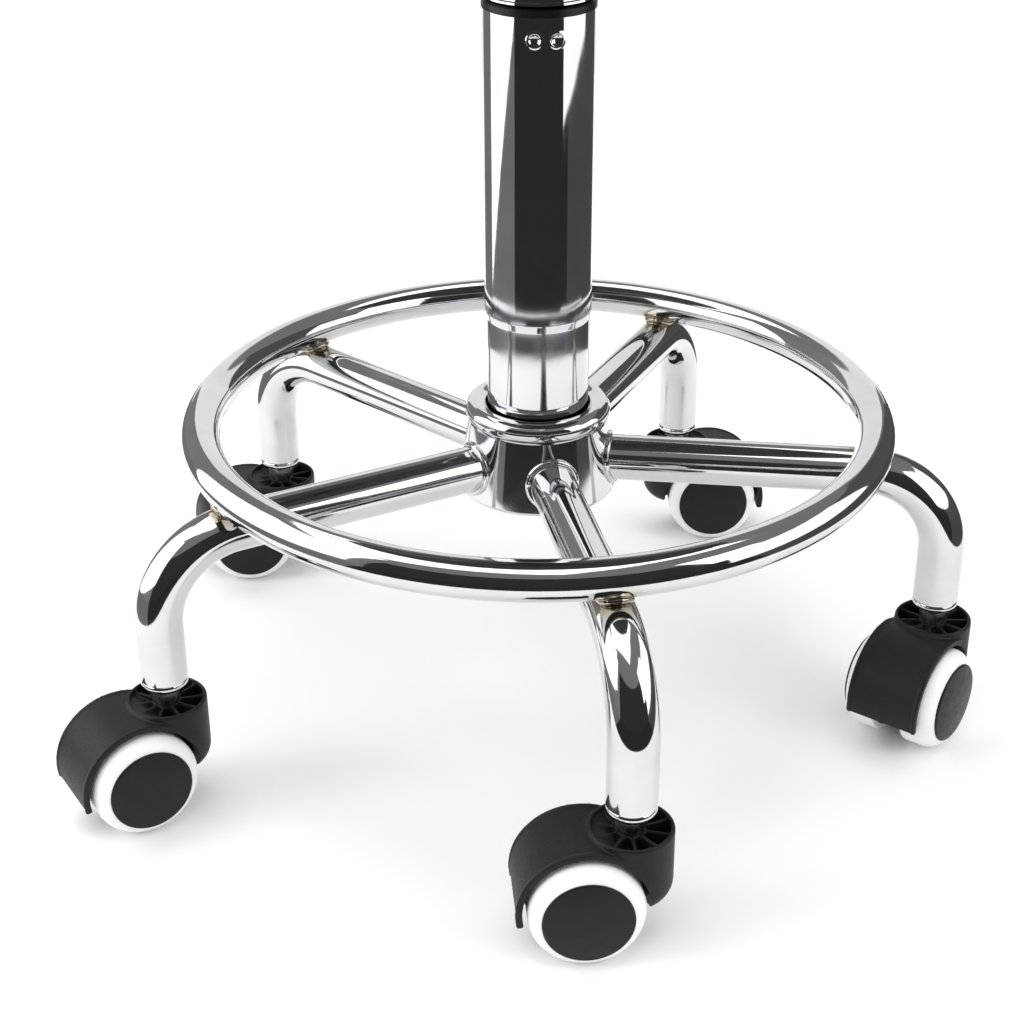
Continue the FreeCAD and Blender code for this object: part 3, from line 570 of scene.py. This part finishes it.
def settled(obj):
    """The mesh of an object with its modifiers applied; the object is removed."""
    graph = bpy.context.evaluated_depsgraph_get()
    mesh = bpy.data.meshes.new_from_object(obj.evaluated_get(graph))
    bpy.data.objects.remove(obj)
    return mesh


def ripple(count, depth, seed, samples):
    """The uneven radius of a hand-laid weld bead around its loop."""
    out = []
    for step in range(samples):
        angle = TURN * step / samples
        wave = abs(math.sin(count * angle / 2))
        lump = noise.noise(Vector((math.cos(angle) * 2, math.sin(angle) * 2, seed)))
        out.append(1 + depth * (wave - 0.5) + 0.1 * lump)
    return np.array(out)


# ---- frame and welds ------------------------------------------------------------------------


def leg_matrix(index):
    """The frame of a leg, which runs outwards along its X."""
    return Matrix.Rotation(FIRST_LEG - index * LEG_STEP, 4, "Z")


def weld_beads():
    """A rippled bead around each leg's root, and one around each saddle between leg and ring."""
    samples = 96
    angles = np.arange(samples) * TURN / samples
    parts = []
    for index in range(CASTER_COUNT):
        sideways = (LEG_TUBE + 0.5) * np.cos(angles)
        level = LEG_AXIS + (LEG_TUBE + 0.5) * np.sin(angles)
        narrowing = HUB_SHOULDER_RADIUS - HUB_FOOT_RADIUS
        hub = HUB_FOOT_RADIUS + narrowing * (level - HUB_LOW) / HUB_RISE
        root = np.stack([np.sqrt(hub**2 - sideways**2) + 0.4, sideways, level], axis=1) * MM
        radii = ROOT_BEAD * MM * ripple(40, 0.06, index, samples)
        bead = tube_along("root_bead", root, radii)
        parts.append((bead, leg_matrix(index)))
        inward = SADDLE_ALONG_LEG * np.cos(angles)
        along = SADDLE_ALONG_RING * np.sin(angles)
        under_ring = RING_HEIGHT / MM - np.sqrt((RING_TUBE / MM) ** 2 - inward**2)
        over_leg = LEG_AXIS + np.sqrt(LEG_TUBE**2 - along**2)
        between = (under_ring + over_leg) / 2
        saddle = np.stack([RING_RADIUS / MM + inward, along, between], axis=1) * MM
        radii = SADDLE_BEAD * MM * ripple(18, 0.12, index + 20, samples)
        bead = tube_along("saddle_bead", saddle, radii)
        parts.append((bead, leg_matrix(index)))
    runs = joined("weld_bead_runs", parts)
    piece = add_piece("weld_bead_runs", runs, "joint_tinted_chrome", "base")
    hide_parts("weld_beads")


def column_tube():
    """The outer tube, turned as one surface whose mouth has the pair of staked dimples."""
    low, high = (corner.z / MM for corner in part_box("column_tube"))
    radius = COLUMN_RADIUS
    line = rounded([
        (COLUMN_FOOT_BORE, low, 0),
        (COLUMN_FOOT_RADIUS, low, 0.5),
        (NECK_RADIUS - 0.05, NECK_HEIGHT - 8, 0),
        (NECK_RADIUS, NECK_HEIGHT, 3),
        (radius, NECK_HEIGHT + 3.4, 3.2),
        (radius, NECK_HEIGHT + 5, 0),
        (radius, NECK_HEIGHT + 8, 0),
        (radius, high - 24, 0),
    ], 6)
    line += [Vector((radius, level)) for level in np.arange(high - 23.6, high - 0.8, 0.28)]
    line += rounded([
        (radius, high - 0.7, 0),
        (radius, high, 0.4),
        (radius - COLUMN_WALL, high, 0),
        (radius - COLUMN_WALL, low, 0),
    ])
    segments = 560
    stake_level = high - DIMPLE_BELOW_TOP
    points = np.zeros((len(line), segments, 3))
    for row, spot in enumerate(line):
        for column in range(segments):
            angle = TURN * column / segments
            out = spot.x
            if out > radius - 0.2 and spot.y > stake_level - DIMPLE_REACH:
                for stake in DIMPLE_ANGLES:
                    turned = angle - math.radians(stake - 90)
                    turned = (turned + math.pi) % TURN - math.pi
                    away = math.hypot(turned * radius, spot.y - stake_level)
                    out += stake_relief(away)
            across, deep = out * math.cos(angle) * MM, out * math.sin(angle) * MM
            points[row, column] = (across, deep, spot.y * MM)
    mesh = grid_mesh("column_outer_tube", points)
    clean(mesh)
    piece = add_piece("column_outer_tube", mesh, "chrome", "base")
    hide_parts("column_tube")


def stake_relief(away):
    """How far the tube stands out at a distance from the middle of a staked dimple."""
    ring = 0.32 * math.exp(-((away - 3.1) / 0.75) ** 2)
    pit = -1.1 * max(0.0, 1 - (away / 2.7) ** 2)
    return ring + pit


# ---- casters --------------------------------------------------------------------------------


def caster_matrix(index):
    """The frame of a caster at rest: its stem axis, with the wheels trailing towards -X."""
    spot = Vector(JOINTS[f"caster_{index}_swivel"]["pos_m"])
    axle = Vector(JOINTS[f"wheel_{index}a_spin"]["axis"])
    heading = math.atan2(axle.x, -axle.y)
    return Matrix.Translation((spot.x, spot.y, 0)) @ Matrix.Rotation(heading, 4, "Z")


def hood_mesh():
    """One moulded hood in its caster's frame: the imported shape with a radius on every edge."""
    source = frame["nodes"]["caster_hood_1"].data.copy()
    source.transform(caster_matrix(1).inverted())
    parts = [(source, Matrix())]
    parts += [(arch_lip(side), Matrix()) for side in (-1, 1)]
    work = placed("hood_work", joined("hood_work", parts))
    remesh = work.modifiers.new("fuse", "REMESH")
    remesh.mode = "VOXEL"
    remesh.voxel_size = HOOD_VOXEL
    smooth = work.modifiers.new("radii", "SMOOTH")
    smooth.factor = 0.5
    smooth.iterations = 4
    thin = work.modifiers.new("thin", "DECIMATE")
    thin.ratio = 0.22
    return settled(work)


def arch_lip(side):
    """The low raised lip along the fender's edge."""
    steps = 64
    first, last = (math.radians(end) for end in LIP_ARC)
    rows = []
    for step in range(steps + 1):
        angle = first + (last - first) * step / steps
        row = []
        for out, across in LIP_OUTLINE:
            row.append((
                (-TRAIL + out * math.cos(angle)) * MM,
                side * across * MM,
                (WHEEL_HEIGHT + out * math.sin(angle)) * MM,
            ))
        rows.append(row)
    mesh = grid_mesh("arch_lip", np.array(rows))
    work = bmesh.new()
    work.from_mesh(mesh)
    bmesh.ops.holes_fill(work, edges=work.edges)
    bmesh.ops.recalc_face_normals(work, faces=work.faces)
    work.to_mesh(mesh)
    work.free()
    return mesh


def caster_hoods():
    """The five hoods, each a copy of one moulding."""
    mesh = hood_mesh()
    for index in range(1, CASTER_COUNT + 1):
        copy = mesh if index == 1 else mesh.copy()
        piece = add_piece(
            f"hood_moulding_{index}", copy, "hood_plastic", f"caster_{index}",
            caster_matrix(index),
        )
        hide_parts(f"caster_hood_{index}")


# ---- seat -----------------------------------------------------------------------------------


def seat_cushion():
    """The padded seat: a form blown up by cloth simulation, with a welt sewn into its seam."""
    seam = SEAT_TOP / MM - SEAM_BELOW_TOP
    side = SEAT_RADIUS / MM - CUSHION_INSET
    top = SEAT_TOP / MM - CUSHION_START_DROP
    underside = SEAT_BOTTOM / MM + 1.5
    start = lathe("cushion_start", [
        (0, underside, 0),
        (side, underside, 7),
        (side, top, CUSHION_START_ROUND),
        (0, top, 0),
    ], 96, 6)
    body = placed("cushion_work", start)
    remesh = body.modifiers.new("even", "REMESH")
    remesh.mode = "VOXEL"
    remesh.voxel_size = CUSHION_VOXEL
    mesh = settled(body)
    rest = points_of(mesh)
    blown = simulated(mesh, rest, seam * MM)
    move = blown - rest
    length = np.linalg.norm(move, axis=1)
    scale = CUSHION_RISE * np.tanh(length / CUSHION_RISE) / np.maximum(length, 1e-9)
    rest = rest + move * scale[:, None]
    rest = creased(rest, seam * MM)
    mesh.vertices.foreach_set("co", rest.ravel())
    cushion = add_piece("seat_cushion", mesh, "vinyl", "seat")
    finer = cushion.modifiers.new("finer", "SUBSURF")
    finer.levels = 1
    finer.render_levels = 1
    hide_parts("seat_cover", "seat_foam")
    seat_welt(rest, seam * MM)


def points_of(mesh):
    """The mesh's vertices as an array of points."""
    flat = np.zeros(len(mesh.vertices) * 3)
    mesh.vertices.foreach_get("co", flat)
    return flat.reshape(-1, 3)


def simulated(mesh, rest, seam):
    """Where the points go when the pad is blown up with its underside and its seam held."""
    obj = placed("cushion_sim", mesh.copy())
    held = obj.vertex_groups.new(name="held")
    out = np.hypot(rest[:, 0], rest[:, 1])
    for index, (reach, level) in enumerate(zip(out, rest[:, 2])):
        if level < SEAT_BOTTOM + 0.008:
            held.add([index], 1.0, "REPLACE")
        elif abs(level - seam) < 0.004 and reach > SEAT_RADIUS - 0.02:
            held.add([index], 0.6, "REPLACE")
    cloth = obj.modifiers.new("Cloth", "CLOTH")
    cloth.settings.quality = 6
    cloth.settings.mass = 0.4
    cloth.settings.tension_stiffness = 6
    cloth.settings.compression_stiffness = 6
    cloth.settings.bending_stiffness = 0.6
    cloth.settings.use_pressure = True
    cloth.settings.uniform_pressure_force = 4.0
    cloth.settings.effector_weights.gravity = 0
    cloth.settings.vertex_group_mass = "held"
    scene = bpy.context.scene
    for number in range(1, SIMULATED_FRAMES + 1):
        scene.frame_set(number)
    graph = bpy.context.evaluated_depsgraph_get()
    shaped = obj.evaluated_get(graph)
    blown = points_of(shaped.data)
    bpy.data.objects.remove(obj)
    scene.frame_set(1)
    return blown


def creased(points, seam):
    """Draw the cover in at the seam under the welt, and let the side swell unevenly."""
    out = np.hypot(points[:, 0], points[:, 1])
    wall = out > SEAT_RADIUS - 0.025
    near = np.exp(-((points[:, 2] - seam) / 0.005) ** 2) * wall
    share = np.clip((points[:, 2] - SEAT_BOTTOM) / (seam - SEAT_BOTTOM), 0, 1)
    reaches = np.maximum(out, 1e-6)
    slack = np.array([
        noise.noise(Vector((x / reach * 11, y / reach * 11, z * 22)))
        for (x, y, z), reach in zip(points, reaches)
    ])
    swell = np.sin(math.pi * share) * wall * (SIDE_SWELL + SIDE_UNEVENNESS * slack)
    pull = 1 + (swell - near * SEAM_PULL) / reaches
    drawn = points.copy()
    drawn[:, 0] *= pull
    drawn[:, 1] *= pull
    return drawn


def seat_welt(points, seam):
    """The piping sewn into the seam around the top, following the blown-up cover."""
    samples = 240
    angles = np.arange(samples) * TURN / samples
    band = points[np.abs(points[:, 2] - seam) < 0.004]
    reach = np.hypot(band[:, 0], band[:, 1])
    where = np.arctan2(band[:, 1], band[:, 0])
    path = []
    for angle in angles:
        apart = np.abs((where - angle + math.pi) % TURN - math.pi)
        out = reach[apart < 0.12].max() + 0.0006
        path.append((out * math.cos(angle), out * math.sin(angle), seam))
    path = np.array(path)
    for _ in range(6):
        path[:, :2] = (np.roll(path, 1, 0) + 2 * path + np.roll(path, -1, 0))[:, :2] / 4
    radii = np.full(samples, WELT_RADIUS)
    add_piece("seat_welt", tube_along("seat_welt", path, radii), "vinyl", "seat")


def seat_hem():
    """The cover's hem under the board, gathered where it turns in."""
    rings, samples = 10, 720
    inner, outer = HEM_RADIUS, SEAT_RADIUS / MM - HEM_INSET
    bottom = SEAT_BOTTOM / MM
    points = np.zeros((rings * 2, samples, 3))
    for ring in range(rings * 2):
        top = ring >= rings
        share = (rings * 2 - 1 - ring if top else ring) / (rings - 1)
        for column in range(samples):
            angle = TURN * column / samples
            x, y = math.cos(angle), math.sin(angle)
            wander = 2.0 * noise.noise(Vector((x * 3, y * 3, 1)))
            gather = abs(math.sin(34 * angle + wander))
            uneven = noise.noise(Vector((x * 7, y * 7, 5)))
            out = inner + (outer - inner) * share + (1 - share) * 2.2 * uneven
            level = bottom + HEM_THICKNESS
            if not top:
                fullness = math.sin(math.pi * min(share * 1.15, 1)) ** 0.7
                level = bottom + 0.1 - HEM_THICKNESS * (1 - gather) * fullness
            points[ring, column] = (out * x * MM, out * y * MM, level * MM)
    mesh = grid_mesh("seat_hem", points, wrap_rows=True)
    clean(mesh)
    add_piece("seat_hem", mesh, "vinyl", "seat")


def staples():
    """Wire staples through the hem, each a crown with its two legs turned up into the board."""
    count = 56
    wire = STAPLE_WIRE
    parts = []
    crown = bpy.data.meshes.new("staple")
    work = bmesh.new()
    for width, depth, rise, spot in (
        (9.0, wire, wire, (0, 0, 0)),
        (wire * 1.2, wire, 2.0, (-4.3, 0, 0.9)),
        (wire * 1.2, wire, 2.0, (4.3, 0, 0.9)),
    ):
        made = bmesh.ops.create_cube(work, size=1)["verts"]
        bmesh.ops.scale(work, vec=(width * MM, depth * MM, rise * MM), verts=made)
        bmesh.ops.translate(work, vec=[v * MM for v in spot], verts=made)
    bmesh.ops.bevel(
        work, geom=work.edges[:], offset=0.12 * MM, segments=2, affect="EDGES", profile=0.5
    )
    work.to_mesh(crown)
    work.free()
    for index in range(count):
        angle = TURN * index / count + 0.02 * math.sin(index * 12.9)
        reach = (HEM_RADIUS + 8 + 1.2 * math.sin(index * 7.3)) * MM
        matrix = (
            Matrix.Rotation(angle, 4, "Z")
            @ Matrix.Translation((reach, 0, SEAT_BOTTOM - 0.5 * MM))
            @ Matrix.Rotation(math.radians(90 + 9 * math.sin(index * 3.7)), 4, "Z")
        )
        parts.append((crown, matrix))
    add_piece("staples", joined("staples", parts), "steel", "seat")


def seat_screws():
    """Cross-recessed pan-head screws in the pan's flange."""
    low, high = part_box("seat_screws")
    reach = (high.x - low.x) / 2 / MM - 6
    bottom = low.z / MM
    head = lathe("screw_head", [
        (0, 0, 0),
        (3.4, 0, 0),
        (6.0, 1.5, 1.6),
        (6.0, 3.2, 0.2),
        (2.5, 3.2, 0),
        (2.5, 12, 0),
        (0, 14, 0),
    ], 48, 5)
    work = placed("screw_work", head)
    cross = bpy.data.meshes.new("cross")
    tool = bmesh.new()
    for turn in (0, 90):
        blade = bmesh.ops.create_cone(
            tool, segments=4, radius1=2.6 * MM, radius2=0.8 * MM, depth=3.2 * MM, cap_ends=True
        )["verts"]
        squared = Matrix.Rotation(math.radians(45), 3, "Z")
        bmesh.ops.rotate(tool, matrix=squared, verts=blade)
        bmesh.ops.scale(tool, vec=(1.25, 0.3, 1), verts=blade)
        bmesh.ops.rotate(tool, matrix=Matrix.Rotation(math.radians(turn), 3, "Z"), verts=blade)
    tool.to_mesh(cross)
    tool.free()
    cutter = placed("cross_work", cross)
    slot = work.modifiers.new("recess", "BOOLEAN")
    slot.operation = "DIFFERENCE"
    slot.solver = "EXACT"
    slot.use_self = True
    slot.object = cutter
    mesh = settled(work)
    bpy.data.objects.remove(cutter)
    parts = []
    for step in range(4):
        angle = math.radians(45 + 90 * step)
        place = Matrix.Translation((
            reach * math.cos(angle) * MM,
            reach * math.sin(angle) * MM,
            bottom * MM,
        ))
        parts.append((mesh, place @ Matrix.Rotation(step * 0.7, 4, "Z")))
    screws = joined("cross_head_screws", parts)
    piece = add_piece("cross_head_screws", screws, "steel", "seat")
    sharp_edges(piece.data, 35)
    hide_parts("seat_screws")


def sharp_edges(mesh, degrees):
    """Keep edges sharper than an angle crisp."""
    work = bmesh.new()
    work.from_mesh(mesh)
    limit = math.radians(degrees)
    for edge in work.edges:
        edge.smooth = len(edge.link_faces) == 2 and edge.calc_face_angle(0) < limit
    work.to_mesh(mesh)
    work.free()


def lever_grip():
    """The moulded handle, with shallow finger grooves and a rounded end."""
    pivot = Vector(JOINTS["lever_pull"]["pos_m"])
    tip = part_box("lever_grip")[0].x
    drop = math.radians(LEVER_DROP)
    reach = (pivot.x - tip) / math.cos(drop) / MM
    start = reach - GRIP_LENGTH
    corners = [(4.0, start, 0), (5.2, start, 0.8), (7.2, start + 16, 6)]
    groove = start + 22
    while groove < reach - 14:
        corners += [
            (GRIP_RADIUS, groove, 0.8),
            (GROOVE_RADIUS, groove + 1.3, 0.8),
            (GRIP_RADIUS, groove + 2.6, 0.8),
        ]
        groove += GROOVE_STEP
    corners += [(GRIP_RADIUS, reach, 5), (0, reach, 0)]
    frame_turn = Matrix.Translation(pivot) @ Matrix.Rotation(-(math.pi / 2 + drop), 4, "Y")
    mesh = lathe("grip", corners, 64, 4)
    mesh.transform(frame_turn)
    piece = add_piece("lever_handle", mesh, "grip_plastic", "lever")
    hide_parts("lever_grip")


# ---- studio ---------------------------------------------------------------------------------


def make_camera():
    """The camera of the main view, aimed by its heading, pitch and roll."""
    data = bpy.data.cameras.new("camera")
    data.lens = CAMERA_LENS
    data.sensor_width = SENSOR_WIDTH
    camera = placed("camera", data)
    heading = -CAMERA_SIDE + CAMERA_YAW
    level = math.cos(CAMERA_PITCH)
    ahead = Vector((math.sin(heading) * level, math.cos(heading) * level, -math.sin(CAMERA_PITCH)))
    right = Vector((math.cos(heading), -math.sin(heading), 0))
    upward = right.cross(ahead)
    tilted_right = right * math.cos(CAMERA_ROLL) + upward * math.sin(CAMERA_ROLL)
    tilted_up = upward * math.cos(CAMERA_ROLL) - right * math.sin(CAMERA_ROLL)
    spot = Vector((
        CAMERA_DISTANCE * math.sin(CAMERA_SIDE),
        -CAMERA_DISTANCE * math.cos(CAMERA_SIDE),
        CAMERA_HEIGHT,
    ))
    turned = Matrix((tilted_right, tilted_up, -ahead)).transposed().to_4x4()
    camera.matrix_world = Matrix.Translation(spot) @ turned
    scene = bpy.context.scene
    scene.camera = camera
    scene.view_settings.view_transform = "Standard"


def stage_sheet(name, corners, faces, material):
    """A sheet of the studio, which isn't part of the stool."""
    mesh = bpy.data.meshes.new(name)
    mesh.from_pydata(corners, [], faces)
    mesh.materials.append(material)
    sheet = placed(name, mesh)
    return sheet


def make_floor():
    """A wide floor of pale paper."""
    made = Shader("floor_paper", Roughness=0.7, Specular_IOR_Level=0.2)
    shade = made.noise(3, 2, 0.5)
    made.colour(made.ramp(shade, (0.3, (0.93, 0.93, 0.93)), (0.7, (0.94, 0.94, 0.94))))
    corners = [
        (-FLOOR_REACH, -FLOOR_REACH, 0),
        (FLOOR_REACH, -FLOOR_REACH, 0),
        (FLOOR_REACH, FLOOR_REACH, 0),
        (-FLOOR_REACH, FLOOR_REACH, 0),
    ]
    stage_sheet("floor", corners, [(0, 1, 2, 3)], made.material)


def glow(name, strength):
    """A material that only gives off white light."""
    made = bpy.data.materials.new(name)
    made.use_nodes = True
    surface = made.node_tree.nodes["Principled BSDF"]
    surface.inputs["Base Color"].default_value = (0, 0, 0, 1)
    surface.inputs["Specular IOR Level"].default_value = 0
    surface.inputs["Emission Color"].default_value = (1, 1, 1, 1)
    surface.inputs["Emission Strength"].default_value = strength
    return made


def upright(turn, distance, low, high):
    """An upright side edge of a card."""
    return (turn, distance, low), (turn, distance, high)


def card(name, strength, first, last):
    """A glowing sheet of the studio that only glossy reflections see.

    first and last are its two side edges, each a low and a high corner given as (degrees leftwards
    from the camera's side of the stool, distance from the column, height).
    """
    steps = 24
    corners = []
    for edge in (0, 1):
        for step in range(steps + 1):
            share = step / steps
            ends = zip(first[edge], last[edge])
            turn, distance, level = (a + (b - a) * share for a, b in ends)
            angle = math.radians(turn) - CAMERA_SIDE
            corner = (-math.sin(angle) * distance, -math.cos(angle) * distance, level)
            corners.append(corner)
    faces = [(i, i + 1, steps + 2 + i, steps + 1 + i) for i in range(steps)]
    sheet = stage_sheet(name, corners, faces, glow(name + "_glow", strength))
    sheet.visible_camera = False
    sheet.visible_diffuse = False
    sheet.visible_shadow = False
    sheet.visible_transmission = False
    sheet.visible_volume_scatter = False


def area_light(name, spot, width, height, power):
    """A soft light aimed at the stool's base."""
    data = bpy.data.lights.new(name, "AREA")
    data.shape = "RECTANGLE"
    data.size = width
    data.size_y = height
    data.energy = power
    light = placed(name, data)
    light.location = spot
    aim = Vector(LIGHT_TARGET) - Vector(spot)
    light.rotation_euler = aim.to_track_quat("-Z", "Y").to_euler()


def make_world():
    """Pale to the camera and to matt surfaces, a dim room to reflections."""
    world = bpy.data.worlds.new("studio")
    bpy.context.scene.world = world
    world.use_nodes = True
    tree = world.node_tree
    pale = tree.nodes["Background"]
    pale.inputs["Color"].default_value = (1, 1, 1, 1)
    pale.inputs["Strength"].default_value = PALE_WORLD
    room = tree.nodes.new("ShaderNodeBackground")
    room.inputs["Color"].default_value = (1, 1, 1, 1)
    room.inputs["Strength"].default_value = DIM_ROOM
    rays = tree.nodes.new("ShaderNodeLightPath")
    pick = tree.nodes.new("ShaderNodeMixShader")
    tree.links.new(rays.outputs["Is Glossy Ray"], pick.inputs[0])
    tree.links.new(pale.outputs[0], pick.inputs[1])
    tree.links.new(room.outputs[0], pick.inputs[2])
    tree.links.new(pick.outputs[0], tree.nodes["World Output"].inputs["Surface"])


def make_studio():
    """Soft lights, and the dim room and bright panels that the chrome reflects."""
    make_world()
    make_floor()
    area_light("overhead", (-0.3, 0.1, 2.2), 2.4, 2.4, 34)
    area_light("left_softbox", (-1.9, -0.9, 1.2), 1.0, 1.2, 14)
    area_light("right_softbox", (1.9, -0.7, 1.3), 1.0, 1.2, 10)
    for side, start, end, tone in (
        ("left", 50, 150, 0.2),
        ("front", -62, 50, 0.03),
        ("right", -150, -62, 0.08),
    ):
        near = [(turn, CARD_FLOOR_START, CARD_FLOOR_LIFT) for turn in (start, end)]
        far = [(turn, ROOM_RADIUS, CARD_FLOOR_LIFT) for turn in (start, end)]
        card(f"{side}_floor", tone, (near[0], far[0]), (near[1], far[1]))
        wall = [upright(turn, ROOM_RADIUS, 0, ROOM_HEIGHT) for turn in (start, end)]
        card(f"{side}_wall", tone * 1.2, *wall)
    away = PANEL_DISTANCE
    card("left_panel", 1.9, upright(50, away, 0.21, 0.75), upright(112, away, 0.0, 0.75))
    card("right_panel", 1.6, upright(-50, away, 0.13, 0.55), upright(-104, away, 0.20, 0.55))
    card("back_panel", 1.0, upright(150, 1.2, 0, 0.9), upright(210, 1.2, 0, 0.9))


# ---- assembly -------------------------------------------------------------------------------


def main():
    """Build the studio and every modelled piece."""
    make_camera()
    make_studio()
    dress_nodes()
    weld_beads()
    column_tube()
    caster_hoods()
    seat_cushion()
    seat_hem()
    staples()
    seat_screws()
    lever_grip()


main()
